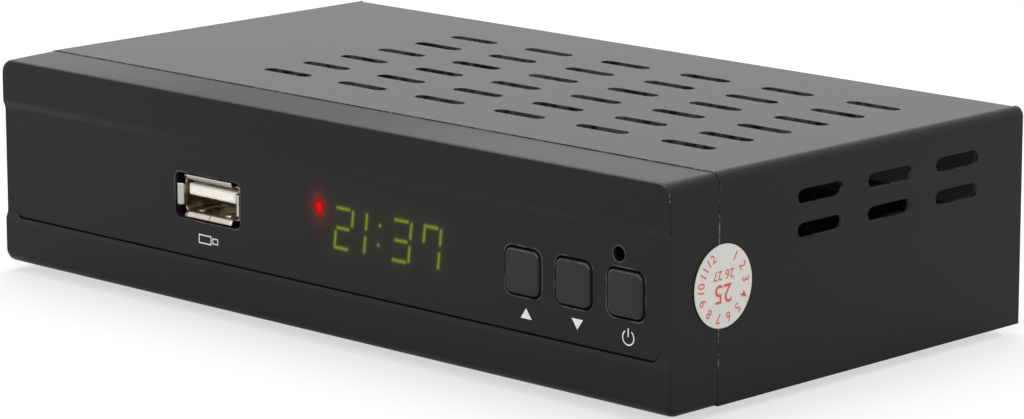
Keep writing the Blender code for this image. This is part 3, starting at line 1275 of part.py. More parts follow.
def build_board_parts(parent, epoxy, tin, sleeve, ferrite):
    """Processor, memory, flash, crystal, coil and the smoothing capacitors."""
    can_end = CRYSTAL_WIDTH / 2 - CHIP_EDGE
    square = (PROCESSOR_SIDE, PROCESSOR_SIDE, PROCESSOR_HEIGHT)
    memory = (MEMORY_WIDTH, MEMORY_LENGTH, MEMORY_HEIGHT)
    flash = (FLASH_WIDTH, FLASH_LENGTH, FLASH_HEIGHT)
    crystal = (CRYSTAL_LENGTH, CRYSTAL_WIDTH, CRYSTAL_HEIGHT)
    coil = (COIL_SIDE, COIL_SIDE, COIL_HEIGHT)
    chip("processor", HEATSINK_END_MARGIN, HEATSINK_Y, square, CHIP_EDGE, epoxy, parent)
    chip("memory_chip", MEMORY_END_MARGIN, MEMORY_Y, memory, CHIP_EDGE, epoxy, parent)
    chip("flash_chip", FLASH_END_MARGIN, FLASH_Y, flash, CHIP_EDGE, epoxy, parent)
    chip("crystal_can", CRYSTAL_END_MARGIN, CRYSTAL_Y, crystal, can_end, tin, parent)
    chip("power_coil", COIL_END_MARGIN, COIL_Y, coil, COIL_CORNER, ferrite, parent)
    neck = CAPACITOR_RADIUS - CAPACITOR_GROOVE
    profile = [
        (CAPACITOR_RADIUS, 0),
        (CAPACITOR_RADIUS, CAPACITOR_GROOVE_Z - CAPACITOR_GROOVE),
        (neck, CAPACITOR_GROOVE_Z),
        (CAPACITOR_RADIUS, CAPACITOR_GROOVE_Z + CAPACITOR_GROOVE),
        (CAPACITOR_RADIUS, CAPACITOR_HEIGHT - CAPACITOR_GROOVE),
        (neck, CAPACITOR_HEIGHT),
    ]
    shape = None
    for i in range(CAPACITOR_COUNT):
        place = (HALF_WIDTH - CAPACITOR_END_MARGIN, CAPACITOR_Y + i * CAPACITOR_PITCH, BOARD_TOP)
        if shape is None:
            shape = add_object(f"capacitor_{i + 1}", turned(profile, "Z"), sleeve, parent, place).data
        else:
            add_copy(f"capacitor_{i + 1}", shape, sleeve, parent, place)


def build_lead(parent, black, grey):
    """Flat lead between the boards: two headers and the ribbon that bows from one to the other."""
    half = HEADER_LENGTH / 2
    low = (LEAD_X - half, FRONT_BACK_SEAT, FRONT_HEADER_Z - HEADER_WIDTH / 2)
    high = (LEAD_X + half, FRONT_BACK_SEAT + HEADER_HEIGHT / 2, FRONT_HEADER_Z + HEADER_WIDTH / 2)
    add_object("front_header", block(low, high), black, parent)
    low = (LEAD_X - half, MAIN_HEADER_Y - HEADER_WIDTH / 2, BOARD_TOP)
    add_object(
        "main_header",
        block(low, (LEAD_X + half, MAIN_HEADER_Y + HEADER_WIDTH / 2, BOARD_TOP + HEADER_HEIGHT)),
        black,
        parent,
    )
    start = Vector((high[1] + SEAT_GAP, FRONT_HEADER_Z))
    end = Vector((MAIN_HEADER_Y, BOARD_TOP + HEADER_HEIGHT + SEAT_GAP))
    bow = (start + Vector((LEAD_TOP / 2, 0)), end + Vector((0, LEAD_TOP)))
    middle = [cubic(start, *bow, end, i / LEAD_STEPS) for i in range(LEAD_STEPS + 1)]
    ribbon = ribbon_outline(middle, LEAD_THICKNESS / 2)
    return add_object(
        "flat_lead", prism(ribbon, "X", LEAD_X - LEAD_WIDTH / 2, LEAD_X + LEAD_WIDTH / 2), grey, parent
    )


def cubic(a, b, c, d, t):
    """Point on a cubic curve with end points a and d and handles b and c."""
    return a * (1 - t) ** 3 + 3 * b * t * (1 - t) ** 2 + 3 * c * t * t * (1 - t) + d * t ** 3


def ribbon_outline(middle, half):
    """Outline of a strip that follows a curve: one side out, the other side back."""
    sides = [], []
    for i, point in enumerate(middle):
        along = middle[min(i + 1, len(middle) - 1)] - middle[max(i - 1, 0)]
        if i == 0:
            along = Vector((1, 0))
        if i == len(middle) - 1:
            along = Vector((0, -1))
        across = Vector((-along.y, along.x)).normalized() * half
        sides[0].append(tuple(point + across))
        sides[1].append(tuple(point - across))
    return sides[1] + sides[0][::-1]


def build_receiver():
    clear_scene()
    case = bpy.data.objects.new("case_frame", None)
    bpy.context.scene.collection.objects.link(case)
    case.location = (0, -(FOREMOST + OVERALL_DEPTH) / 2, FOOT_HEIGHT)

    powder = make_material("black powder coat", (0.030, 0.029, 0.028), 0.55)
    moulding = make_material("black moulded plastic", (0.028, 0.027, 0.025), 0.5)
    film = make_material("smoked film", (0.020, 0.020, 0.018), 0.35)
    key = make_material("key plastic", (0.036, 0.036, 0.033), 0.45)
    rubber = make_material("foot rubber", (0.02, 0.02, 0.02), 0.9)
    paper = make_material("seal paper", (0.80, 0.76, 0.75), 0.7)
    make_material("zinc steel", (0.55, 0.55, 0.56), 0.35, 1.0)
    laminate = make_material("green laminate", (0.02, 0.14, 0.06), 0.45)
    plated = make_material("plated shell", (0.72, 0.68, 0.62), 0.3, 1.0)
    nickel = make_material("nickel", (0.66, 0.65, 0.62), 0.25, 1.0)
    tin = make_material("tinned screen", (0.6, 0.6, 0.6), 0.35, 1.0)
    white = make_material("white insulator", (0.85, 0.85, 0.80), 0.5)
    black = make_material("black insulator", (0.02, 0.02, 0.02), 0.5)
    orange = make_material("orange insulator", (0.75, 0.25, 0.02), 0.5)
    epoxy = make_material("chip epoxy", (0.02, 0.02, 0.022), 0.6)
    sleeve = make_material("capacitor sleeve", (0.03, 0.04, 0.12), 0.4)
    ferrite = make_material("ferrite", (0.08, 0.08, 0.09), 0.7)
    aluminium = make_material("anodised aluminium", (0.05, 0.05, 0.055), 0.4, 1.0)
    grey = make_material("grey ribbon", (0.45, 0.45, 0.46), 0.6)
    red = make_material("red lens", (0.6, 0.02, 0.02), 0.2)

    build_top_cover(case, powder)
    build_base_pan(case, powder)
    build_front_panel(case, moulding)
    build_overlay(case, film)
    build_seal(case, paper)
    build_feet(case, rubber)
    build_screws(case)
    build_front_board(case, laminate)
    build_display(case, black)
    build_lamp(case, red)
    build_ir_receiver(case, black)
    build_keys(case, key, black, white)
    build_stick_socket(case, plated, white)
    build_main_board(case, laminate)
    build_tuner(case, tin, nickel, white)
    build_picture_socket(case, plated, black)
    build_wide_socket(case, black)
    build_sound_socket(case, black, nickel, orange)
    build_power_jack(case, black, nickel)
    build_heatsink(case, aluminium)
    build_board_parts(case, epoxy, tin, sleeve, ferrite)
    build_lead(case, black, grey)


build_receiver()
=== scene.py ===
import json
import math

import bmesh
import bpy
import numpy as np
from mathutils import Matrix, Vector

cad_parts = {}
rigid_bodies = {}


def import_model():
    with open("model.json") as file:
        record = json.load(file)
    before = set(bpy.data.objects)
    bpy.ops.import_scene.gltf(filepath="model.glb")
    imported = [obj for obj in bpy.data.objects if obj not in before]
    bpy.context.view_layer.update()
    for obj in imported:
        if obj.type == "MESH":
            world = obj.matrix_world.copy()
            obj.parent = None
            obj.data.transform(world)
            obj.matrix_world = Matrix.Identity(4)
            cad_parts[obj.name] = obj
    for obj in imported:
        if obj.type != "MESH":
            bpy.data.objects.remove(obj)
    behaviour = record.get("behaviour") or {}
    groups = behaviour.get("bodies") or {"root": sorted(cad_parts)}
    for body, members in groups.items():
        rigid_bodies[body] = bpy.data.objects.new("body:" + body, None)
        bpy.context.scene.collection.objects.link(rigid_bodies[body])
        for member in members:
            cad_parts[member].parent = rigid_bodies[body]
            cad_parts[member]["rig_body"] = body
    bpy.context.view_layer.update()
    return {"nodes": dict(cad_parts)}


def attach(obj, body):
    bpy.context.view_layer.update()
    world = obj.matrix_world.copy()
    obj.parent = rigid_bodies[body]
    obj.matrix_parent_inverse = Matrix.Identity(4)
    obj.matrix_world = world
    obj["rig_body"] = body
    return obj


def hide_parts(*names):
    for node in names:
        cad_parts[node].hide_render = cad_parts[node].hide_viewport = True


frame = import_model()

nodes = frame["nodes"]
mm = 0.001
caseOffset = np.array([0.0, -45.15, 1.5])  # the case drawing's origin in the frame, in mm

# places and sizes in the case drawing, in mm
drawing = {
    "halfWide": 75.0,
    "ceiling": 34.0,  # underside of the cover's top
    "sheet": 0.7,
    "seam": 10.6,  # middle of the seam between the front moulding and the cover
    "keys": {"up_key": (45.2, 17.0), "down_key": (55.55, 17.0), "power_key": (65.9, 17.0)},
    "keyPitch": 10.35,
    "keyHalf": 3.45,
    "keyCorner": 1.2,
    "keyGap": 0.33,
    "lens": (64.5, 22.75),  # hole over the power key
    "lensRadius": 1.15,
    "stick": (-24.87, 17.62),
    "stickWindow": (-24.72, 17.62),
    "stickWindowHalf": (7.67, 3.715),
    "stickWindowCorner": 1.1,
}
print("frame loaded:", len(nodes), "nodes")


# shader maths


class Wire:
    # one output of a node; arithmetic on it adds Math nodes
    def __init__(self, tree, socket):
        self.tree = tree
        self.socket = socket

    def math(self, operation, *values):
        sockets = dict(enumerate(values))
        return addNode(self.tree, "ShaderNodeMath", {"operation": operation}, sockets)

    def __add__(self, other):
        return self.math("ADD", self, other)

    def __radd__(self, other):
        return self.math("ADD", other, self)

    def __sub__(self, other):
        return self.math("SUBTRACT", self, other)

    def __mul__(self, other):
        return self.math("MULTIPLY", self, other)

    def __truediv__(self, other):
        return self.math("DIVIDE", self, other)

    def abs(self):
        return self.math("ABSOLUTE", self)

    def remainder(self):
        return self.math("FRACT", self)

    def high(self, other):
        return self.math("MAXIMUM", self, other)

    def low(self, other):
        return self.math("MINIMUM", self, other)

    def root(self):
        return self.math("SQRT", self)

    def fade(self, start, end):
        # 0 at start, 1 at end
        values = {"Value": self, "From Min": start, "From Max": end}
        return addNode(self.tree, "ShaderNodeMapRange", {"interpolation_type": "SMOOTHSTEP"}, values)

    def blend(self, first, second):
        # a colour between two colours, this value the share of the second
        return addNode(self.tree, "ShaderNodeMix", {"data_type": "RGBA"}, {0: self, 6: first, 7: second}, 2)


def addNode(tree, kind, settings=None, values=None, output=0):
    # settings first, then the values or links of the sockets
    node = tree.nodes.new(kind)
    for name, value in (settings or {}).items():
        setattr(node, name, value)
    for name, value in (values or {}).items():
        socket = node.inputs[name]
        if isinstance(value, Wire):
            tree.links.new(value.socket, socket)
        elif isinstance(value, (tuple, list)) and socket.type == "RGBA" and len(value) == 3:
            socket.default_value = (*value, 1.0)
        else:
            socket.default_value = value
    return Wire(tree, node.outputs[output]) if node.outputs else None


class Finish:
    # a material under construction; x, y and z are places in the case drawing, in mm
    def __init__(self, name):
        self.material = bpy.data.materials.new(name)
        self.material.use_nodes = True
        self.tree = self.material.node_tree
        self.tree.nodes.clear()
        self.point = self.node("ShaderNodeTexCoord", output=3)
        parts = zip(self.split(self.point), caseOffset)
        self.x, self.y, self.z = [part / mm - shift for part, shift in parts]

    def node(self, kind, settings=None, values=None, output=0):
        return addNode(self.tree, kind, settings, values, output)

    def split(self, vector):
        node = self.tree.nodes.new("ShaderNodeSeparateXYZ")
        self.tree.links.new(vector.socket, node.inputs[0])
        return [Wire(self.tree, output) for output in node.outputs]

    def noise(self, size, detail=2.0, roughness=0.5, stretch=(1, 1, 1)):
        # size is the width of one blob in mm
        where = self.node("ShaderNodeMapping", values={0: self.point, 3: stretch})
        values = {"Vector": where, "Scale": 1 / (size * mm), "Detail": detail, "Roughness": roughness}
        return self.node("ShaderNodeTexNoise", values=values)

    def roundBox(self, middle, half, corner):
        # distance outside a rectangle with round corners, in x and z
        overX = ((self.x - middle[0]).abs() - (half[0] - corner)).high(0.0)
        overZ = ((self.z - middle[1]).abs() - (half[1] - corner)).high(0.0)
        return (overX * overX + overZ * overZ).root() - corner

    def facing(self):
        # the three parts of the direction that the surface faces
        return self.split(self.node("ShaderNodeNewGeometry", output=1))

    def bump(self, height, depth, strength=1.0):
        # depth is the height of the relief in mm
        values = {"Height": height, "Distance": depth * mm, "Strength": strength}
        return self.node("ShaderNodeBump", values=values)

    def surface(self, **values):
        named = {name.replace("_", " "): value for name, value in values.items()}
        shader = self.node("ShaderNodeBsdfPrincipled", values=named)
        self.node("ShaderNodeOutputMaterial", values={"Surface": shader})
        return self.material


# camera

camera = {
    "azimuth": 44.157,
    "elevation": 11.724,
    "roll": -0.082,
    "place": (0.469385, -0.481651, 0.158096),
    "lens": 148.654,
    "shift": (-0.0093023, -0.0243135),
}


def aimCamera():
    azimuth = math.radians(camera["azimuth"])
    elevation = math.radians(camera["elevation"])
    roll = math.radians(camera["roll"])
    level = math.cos(elevation)
    back = Vector((math.sin(azimuth) * level, -math.cos(azimuth) * level, math.sin(elevation)))
    right = Vector((0, 0, 1)).cross(back).normalized()
    up = back.cross(right)
    across = right * math.cos(roll) + up * math.sin(roll)
    upright = up * math.cos(roll) - right * math.sin(roll)
    data = bpy.data.cameras.new("photoCamera")
    data.lens = camera["lens"]
    data.sensor_width = 36
    data.sensor_fit = "HORIZONTAL"
    data.shift_x, data.shift_y = camera["shift"]
    data.clip_start = 0.01
    data.clip_end = 20
    eye = bpy.data.objects.new("photoCamera", data)
    turn = Matrix((across, upright, back)).transposed().to_4x4()
    eye.matrix_world = Matrix.Translation(camera["place"]) @ turn
    bpy.context.scene.collection.objects.link(eye)
    bpy.context.scene.camera = eye


aimCamera()

# light, floor and backdrop

studio = {
    "worldLow": 0.35,
    "worldHigh": 0.85,
    "mirrored": 1.55,  # how bright the white backdrop is in reflections
    "mirroredTint": (0.985, 0.975, 1.0),
    "floorReach": 6.0,
    "floorGlow": 0.62,
    "floorMirrored": 0.3,
    # name, place, target, size, watts
    "lamps": [
        ("lampAbove", (-0.3, 0.25, 1.1), (0, 0, 0), 0.9, 8.0),
        ("lampFront", (0.5, -1.1, 0.7), (0, 0, 0.01), 0.7, 3.4),
    ],
}


def lightScene():
    scene = bpy.context.scene
    scene.view_settings.view_transform = "Standard"
    for name, place, target, size, watts in studio["lamps"]:
        data = bpy.data.lights.new(name, "AREA")
        data.shape = "DISK"
        data.size = size
        data.energy = watts
        lamp = bpy.data.objects.new(name, data)
        lamp.location = place
        lamp.rotation_euler = (Vector(target) - Vector(place)).to_track_quat("-Z", "Y").to_euler()
        scene.collection.objects.link(lamp)
    backdrop = bpy.data.worlds.new("studioWorld")
    scene.world = backdrop
    backdrop.use_nodes = True
    tree = backdrop.node_tree
    tree.nodes.clear()
    direction = addNode(tree, "ShaderNodeTexCoord")
    height = addNode(tree, "ShaderNodeSeparateXYZ", values={0: direction}, output=2)
    level = height.fade(-0.2, 0.9) * (studio["worldHigh"] - studio["worldLow"]) + studio["worldLow"]
    seen, mirrored, through = [addNode(tree, "ShaderNodeLightPath", output=i) for i in (0, 3, 6)]
    bright = mirrored * (studio["mirrored"] - 1) + 1.0
    soft = addNode(tree, "ShaderNodeBackground", values={"Color": (1, 1, 1), "Strength": level})
    tint = mirrored.blend((1, 1, 1), studio["mirroredTint"])
    white = addNode(tree, "ShaderNodeBackground", values={"Color": tint, "Strength": bright})
    share = seen.high(mirrored).high(through)
    mixed = addNode(tree, "ShaderNodeMixShader", values={0: share, 1: soft, 2: white})
    addNode(tree, "ShaderNodeOutputWorld", values={0: mixed})


def buildFloor():
    reach = studio["floorReach"]
    mesh = bpy.data.meshes.new("studioFloor")
    corners = [(-reach, -reach, 0), (reach, -reach, 0), (reach, reach, 0), (-reach, reach, 0)]
    mesh.from_pydata(corners, [], [(0, 1, 2, 3)])
    floor = bpy.data.objects.new("studioFloor", mesh)
    bpy.context.scene.collection.objects.link(floor)
    paper = bpy.data.materials.new("palePaper")
    paper.use_nodes = True
    tree = paper.node_tree
    tree.nodes.clear()
    matte = addNode(tree, "ShaderNodeBsdfDiffuse", values={"Color": (0.9, 0.9, 0.9)})
    glow = addNode(tree, "ShaderNodeEmission", values={"Color": (1, 1, 1), "Strength": 1.0})
    seen, mirrored = [addNode(tree, "ShaderNodeLightPath", output=i) for i in (0, 3)]
    share = seen * studio["floorGlow"] + mirrored * studio["floorMirrored"]
    mixed = addNode(tree, "ShaderNodeMixShader", values={0: share, 1: matte, 2: glow})
    addNode(tree, "ShaderNodeOutputMaterial", values={0: mixed})
    mesh.materials.append(paper)


lightScene()
buildFloor()
print("camera, lamps and floor")

# finishes

finishes = {}

powder = {
    "dark": (0.0064, 0.0064, 0.0057),
    "light": (0.0102, 0.0101, 0.0091),
    "fleck": (0.14, 0.14, 0.14),
    "lining": (0.3, 0.3, 0.26),
    # worn paint and a painted highlight on the walls of the vents
    "thin": (0.09, 0.09, 0.085),
    "chip": (0.17, 0.17, 0.165),
    "grain": 0.42,
    "roughness": 0.3,
    "specular": 0.13,
    "liningEnd": 80.2,
}


def powderCoat():
    # black powder coat on sheet steel: fine orange peel, a few pale flecks, chips along the seam,
    # worn paint with a painted highlight on the walls of the vents, and a dull grey inside
    f = Finish("coverPowder")
    faceX, _, faceZ = f.facing()
    inner = drawing["halfWide"] - drawing["sheet"]
    sheet, ceiling, seam, rear = drawing["sheet"], drawing["ceiling"], drawing["seam"], powder["liningEnd"]
    beforeRear = f.y.fade(rear + 0.2, rear)
    grain = f.noise(powder["grain"], 3.0, 0.6)
    cloud = f.noise(22.0, 2.0)
    fleck = f.noise(0.5, 1.0).fade(0.79, 0.815) * f.noise(9.0, 1.0).fade(0.52, 0.64)
    # chips
    upright = faceZ.fade(0.9, 0.4) * 0.8 + 0.2
    edge = (f.y - seam).abs().fade(0.22, 0.08)
    patches = f.noise(0.9, 3.0, 0.7).fade(0.45, 0.6) * f.noise(8.0, 2.0).fade(0.4, 0.56)
    chips = edge * patches * upright
    # lining
    inHeight = f.z.fade(sheet - 0.15, sheet - 0.05) * f.z.fade(ceiling + 0.1, ceiling + 0.02)
    inDepth = f.y.fade(seam + 0.8, seam + 1.0) * beforeRear
    inside = f.x.abs().fade(inner + 0.1, inner + 0.02) * inHeight * inDepth
    # walls of the vents: worn paint and a painted highlight on them
    sideWall = faceX.abs().fade(0.8, 0.5) * f.x.abs().fade(inner + 0.03, inner + 0.1)
    sideWall = sideWall * f.z.fade(ceiling - 1.0, ceiling - 1.5)
    topWall = faceZ.abs().fade(0.8, 0.5) * f.z.fade(ceiling + 0.03, ceiling + 0.1)
    topWall = topWall * f.x.abs().fade(inner - 1.3, inner - 1.8)
    ventDepth = f.y.fade(seam + 1.4, seam + 2.4) * beforeRear
    thin = sideWall.high(topWall) * ventDepth * f.noise(1.6, 3.0).fade(0.35, 0.6) * 0.9
    body = (cloud * 0.5 + grain * 0.5).blend(powder["dark"], powder["light"])
    lined = inside.blend((fleck * 0.5).blend(body, powder["fleck"]), powder["lining"])
    return f.surface(
        Base_Color=chips.blend(thin.blend(lined, powder["thin"]), powder["chip"]),
        Roughness=grain * 0.12 + powder["roughness"],
        Specular_IOR_Level=powder["specular"],
        Normal=f.bump(grain, 0.03, 0.6),
    )


panel = {
    "dark": (0.0076, 0.0071, 0.0060),
    "light": (0.0098, 0.0092, 0.0078),
    # painted shade for the faces turned to either side
    "side": (0.004, 0.004, 0.0035),
    # wear and a painted highlight round the top right corner of the front
    "rubbedEdgeAndHighlight": (0.12, 0.12, 0.115),
    "middle": (0.0, 17.2),
    "half": (75.0, 17.2),
    "corner": 2.2,
}


def panelPlastic():
    # moulded black plastic with a fine eroded texture, its side faces darker as painted shade, and a pale
    # line of wear and painted highlight round the top right corner of the front
    f = Finish("panelPlastic")
    grain = f.noise(0.3, 2.0, 0.6)
    flow = (f.x + 12.0).abs().fade(60.0, 5.0)
    outline = f.roundBox(panel["middle"], panel["half"], panel["corner"])
    byCorner = f.z.fade(31.4, 32.0) * f.x.fade(73.2, 74.2)
    # a pale line of wear and painted highlight round the top right corner of the front
    rubbedEdgeAndHighlight = (outline + 0.1).abs().fade(0.16, 0.05) * f.y.fade(0.3, 0.15) * byCorner
    body = f.noise(30.0).blend(panel["dark"], panel["light"])
    # painted shade: faces turned to either side are darker
    paintedSideShade = f.facing()[0].abs().fade(0.5, 0.9) * 0.5
    shaded = paintedSideShade.blend(body, panel["side"])
    return f.surface(
        Base_Color=(rubbedEdgeAndHighlight * f.noise(0.6, 3.0, 0.7).fade(0.42, 0.6)).blend(shaded, panel["rubbedEdgeAndHighlight"]),
        Roughness=grain * 0.1 + flow * 0.1 + 0.34,
        Specular_IOR_Level=0.145,
        Normal=f.bump(grain, 0.018, 0.5),
    )


film = {
    "dark": (0.0074, 0.0068, 0.0056),
    "light": (0.0092, 0.0084, 0.0070),
    "rim": (0.075, 0.073, 0.068),
    "roughness": 0.4,
    "specular": 0.155,
    "grain": 0.25,
}


def filmBase(f):
    # the tinted film's colour, with a paler cut rim round each of its holes
    half = drawing["keyHalf"] + drawing["keyGap"]
    corner = drawing["keyCorner"] + drawing["keyGap"]
    rims = [f.roundBox(middle, (half, half), corner) for middle in drawing["keys"].values()]
    radius = drawing["lensRadius"]
    rims.append(f.roundBox(drawing["lens"], (radius, radius), radius))
    rims.append(f.roundBox(drawing["stickWindow"], drawing["stickWindowHalf"], drawing["stickWindowCorner"]))
    rim = rims[0]
    for other in rims[1:]:
        rim = rim.low(other)
    pale = (rim - 0.11).abs().fade(0.15, 0.04) * f.noise(2.5, 2.0).fade(0.38, 0.6)
    return pale.blend(f.noise(40.0).blend(film["dark"], film["light"]), film["rim"])


def smokedFilm():
    # satin tinted film
    f = Finish("smokedFilm")
    grain = f.noise(film["grain"], 2.0)
    return f.surface(
        Base_Color=filmBase(f),
        Roughness=grain * 0.06 + film["roughness"],
        Specular_IOR_Level=film["specular"],
        Normal=f.bump(grain, 0.006, 0.4),
    )


def keyPlastic():
    # satin caps, with a painted highlight along the upper edge
    f = Finish("keyPlastic")
    grain = f.noise(0.22, 2.0)
    firstX, level = drawing["keys"]["up_key"]
    straight = drawing["keyHalf"] - drawing["keyCorner"]
    across = (((f.x - firstX) / drawing["keyPitch"] + 0.5).remainder() - 0.5).abs() * drawing["keyPitch"]
    beside = (across - straight).high(0.0)
    above = (f.z - level - straight).high(0.0)
    distance = (beside * beside + above * above).root()
    # painted highlight along the upper edge and its round corners
    paintedEdgeHighlight = (distance - 1.02).abs().fade(0.16, 0.04) * f.z.fade(19.3, 20.0) * f.y.fade(0.7, 0.5)
    body = f.noise(6.0).blend((0.0122, 0.0120, 0.0108), (0.0145, 0.0142, 0.0128))
    return f.surface(
        Base_Color=(paintedEdgeHighlight * f.noise(1.2, 2.0).fade(0.3, 0.6)).blend(body, (0.075, 0.075, 0.07)),
        Roughness=grain * 0.08 + 0.36,
        Specular_IOR_Level=0.22,
        Normal=f.bump(grain, 0.008, 0.5),
    )


def rubber():
    f = Finish("footRubber")
    grain = f.noise(0.35, 3.0)
    return f.surface(
        Base_Color=f.noise(4.0).blend((0.014, 0.014, 0.014), (0.024, 0.024, 0.023)),
        Roughness=grain * 0.1 + 0.78,
        Specular_IOR_Level=0.3,
        Normal=f.bump(grain, 0.03),
    )


def sealPaper():
    # thin paper that dips where it bridges the seam
    f = Finish("sealPaper")
    fibre = f.noise(0.35, 4.0, 0.7)
    dip = (f.y - drawing["seam"]).abs().fade(0.0, 0.5)
    return f.surface(
        Base_Color=fibre.blend((0.615, 0.622, 0.57), (0.685, 0.692, 0.64)),
        Roughness=fibre * 0.1 + 0.6,
        Specular_IOR_Level=0.3,
        Normal=f.bump(dip + fibre * 0.12, 0.035),
    )


def plated(name, dark, light, roughness):
    # a plated or bare metal: soft blotches in its colour and gloss
    f = Finish(name)
    cloud = f.noise(2.6, 3.0, 0.6)
    fine = f.noise(0.6, 2.0, 0.6)
    return f.surface(
        Base_Color=cloud.blend(dark, light),
        Metallic=1.0,
        Roughness=fine * 0.12 + cloud * 0.08 + roughness,
        Normal=f.bump(fine, 0.004, 0.5),
    )


def socketShell():
    # plated lips with painted shade, browner and darker with depth, and a fine joint in the middle of the
    # lower lip
    f = Finish("platedShell")
    cloud = f.noise(2.6, 3.0, 0.6)
    fine = f.noise(0.6, 2.0)
    # painted shade: browner and darker deeper in the socket
    depth = f.y.fade(1.5, 2.6)
    innerShadeBlotch = f.noise(1.8, 3.0, 0.6).fade(0.4, 0.6)
    inner = innerShadeBlotch.blend((0.18, 0.13, 0.08), (0.62, 0.53, 0.35))
    joint = (f.x + 24.6).abs().fade(0.12, 0.04) * f.z.fade(15.8, 15.4) * f.y.fade(2.4, 1.8)
    plating = cloud.blend((0.38, 0.355, 0.32), (0.48, 0.455, 0.41))
    return f.surface(
        Base_Color=joint.blend(depth.blend(plating, inner), (0.02, 0.016, 0.012)),
        Metallic=1.0,
        Roughness=fine * 0.12 + cloud * 0.08 + 0.22,
        Normal=f.bump(fine, 0.004, 0.5),
    )


def moulded(name, dark, light, roughness, grain=0.3, depth=0.01, specular=0.5):
    # a plain moulded plastic or resin
    f = Finish(name)
    fine = f.noise(grain, 2.0)
    return f.surface(
        Base_Color=f.noise(5.0, 3.0).blend(dark, light),
        Roughness=fine * 0.1 + roughness,
        Specular_IOR_Level=specular,
        Normal=f.bump(fine, depth, 0.5),
    )


def laminate():
    # green solder resist over copper tracks, with tinned pads
    f = Finish("boardLaminate")
    lanes = f.noise(3.4, 1.0, stretch=(1.0, 0.25, 1.0)) - f.noise(3.4, 1.0, stretch=(0.3, 1.0, 1.0))
    track = lanes.abs().fade(0.018, 0.004)
    padX, padY = (f.x * 0.5).remainder() - 0.5, (f.y * 0.5).remainder() - 0.5
    pad = (padX * padX + padY * padY).fade(0.05, 0.03) * f.noise(9.0, 1.0).fade(0.56, 0.6)
    resist = track.blend((0.012, 0.095, 0.035), (0.03, 0.19, 0.07))
    return f.surface(
        Base_Color=pad.blend(resist, (0.6, 0.58, 0.5)),
        Roughness=0.34 + pad * 0.1,
        Metallic=pad,
        Normal=f.bump(track + pad * 0.5, 0.03, 0.6),
    )


def ribbon():
    # a flat lead: one groove for each 1.27 mm of its pitch
    f = Finish("ribbonGrey")
    groove = ((f.x / 1.27).remainder() - 0.5).abs().fade(0.5, 0.34)
    return f.surface(
        Base_Color=groove.blend((0.16, 0.16, 0.17), (0.42, 0.42, 0.43)),
        Roughness=0.5,
        Normal=f.bump(groove, 0.15),
    )


def sleeve():
    # a capacitor's shrink sleeve, its crown bare aluminium
    f = Finish("capacitorSleeve")
    crown = f.z.fade(18.7, 18.8)
    fine = f.noise(0.4, 2.0)
    return f.surface(
        Base_Color=crown.blend((0.012, 0.02, 0.075), (0.62, 0.62, 0.62)),
        Metallic=crown,
        Roughness=0.3 + fine * 0.1,
        Normal=f.bump(fine, 0.006),
    )


def redLens():
    # the lit standby lamp: brightest in its middle
    f = Finish("redLens")
    awayX, awayZ = f.x - 0.4, f.z - 20.15
    glow = (awayX * awayX + awayZ * awayZ).fade(1.3, 0.1)
    return f.surface(
        Base_Color=f.noise(1.0).blend((0.45, 0.01, 0.01), (0.6, 0.02, 0.02)),
        Roughness=0.3,
        Emission_Color=glow.blend((0.9, 0.0, 0.0), (3.2, 0.03, 0.04)),
        Emission_Strength=1.0,
    )


finishes["cover_powder"] = powderCoat()
finishes["panel_plastic"] = panelPlastic()
finishes["smoked_film"] = smokedFilm()
finishes["key_plastic"] = keyPlastic()
finishes["foot_rubber"] = rubber()
finishes["seal_paper"] = sealPaper()
finishes["zinc_steel"] = plated("zincSteel", (0.46, 0.46, 0.47), (0.6, 0.6, 0.61), 0.3)
finishes["board_laminate"] = laminate()
finishes["plated_shell"] = socketShell()
finishes["nickel"] = plated("nickelPlate", (0.58, 0.57, 0.54), (0.7, 0.69, 0.66), 0.16)
finishes["tinned_screen"] = plated("tinnedScreen", (0.5, 0.5, 0.5), (0.64, 0.64, 0.64), 0.26)
finishes["white_insulator"] = moulded("whiteInsulator", (0.86, 0.84, 0.76), (0.92, 0.9, 0.83), 0.4)
finishes["black_insulator"] = moulded("blackInsulator", (0.011, 0.011, 0.011), (0.02, 0.02, 0.02), 0.42)
finishes["orange_insulator"] = moulded("orangeInsulator", (0.62, 0.18, 0.015), (0.74, 0.24, 0.02), 0.4)
displayColours = (0.012, 0.012, 0.011), (0.015, 0.015, 0.013)
finishes["display_block"] = moulded("displayBlock", *displayColours, 0.4, specular=0.3)
finishes["ir_lens"] = moulded("irLens", (0.006, 0.006, 0.006), (0.011, 0.01, 0.01), 0.12)
finishes["chip_epoxy"] = moulded("chipEpoxy", (0.014, 0.014, 0.015), (0.026, 0.026, 0.028), 0.55, 0.2, 0.02)
finishes["capacitor_sleeve"] = sleeve()
finishes["ferrite"] = moulded("ferrite", (0.05, 0.05, 0.055), (0.1, 0.1, 0.11), 0.6, 0.25, 0.03)
finishes["anodised_aluminium"] = plated("anodised", (0.04, 0.04, 0.044), (0.065, 0.065, 0.07), 0.42)
finishes["ribbon_grey"] = ribbon()
finishes["red_lens"] = redLens()

slotOf = {name: node.material_slots[0].material.name for name, node in nodes.items()}
for name, node in nodes.items():
    node.material_slots[0].material = finishes[slotOf[name]]
print("finishes:", len(finishes))

# making pieces


def placeMesh(name, mesh, body, replaced=()):
    piece = bpy.data.objects.new(name, mesh)
    bpy.context.scene.collection.objects.link(piece)
    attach(piece, body)
    if replaced:
        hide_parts(*replaced)
    return piece


def addPiece(name, points, faces, finish, body="case", replaced=()):
    # points are places in the case drawing, in mm
    mesh = bpy.data.meshes.new(name)
    places = (np.asarray(points, float).reshape(-1, 3) + caseOffset) * mm
    mesh.from_pydata(places.tolist(), [], faces)
    mesh.materials.append(finish)
    mesh.polygons.foreach_set("use_smooth", [True] * len(mesh.polygons))
    return placeMesh(name, mesh, body, replaced)


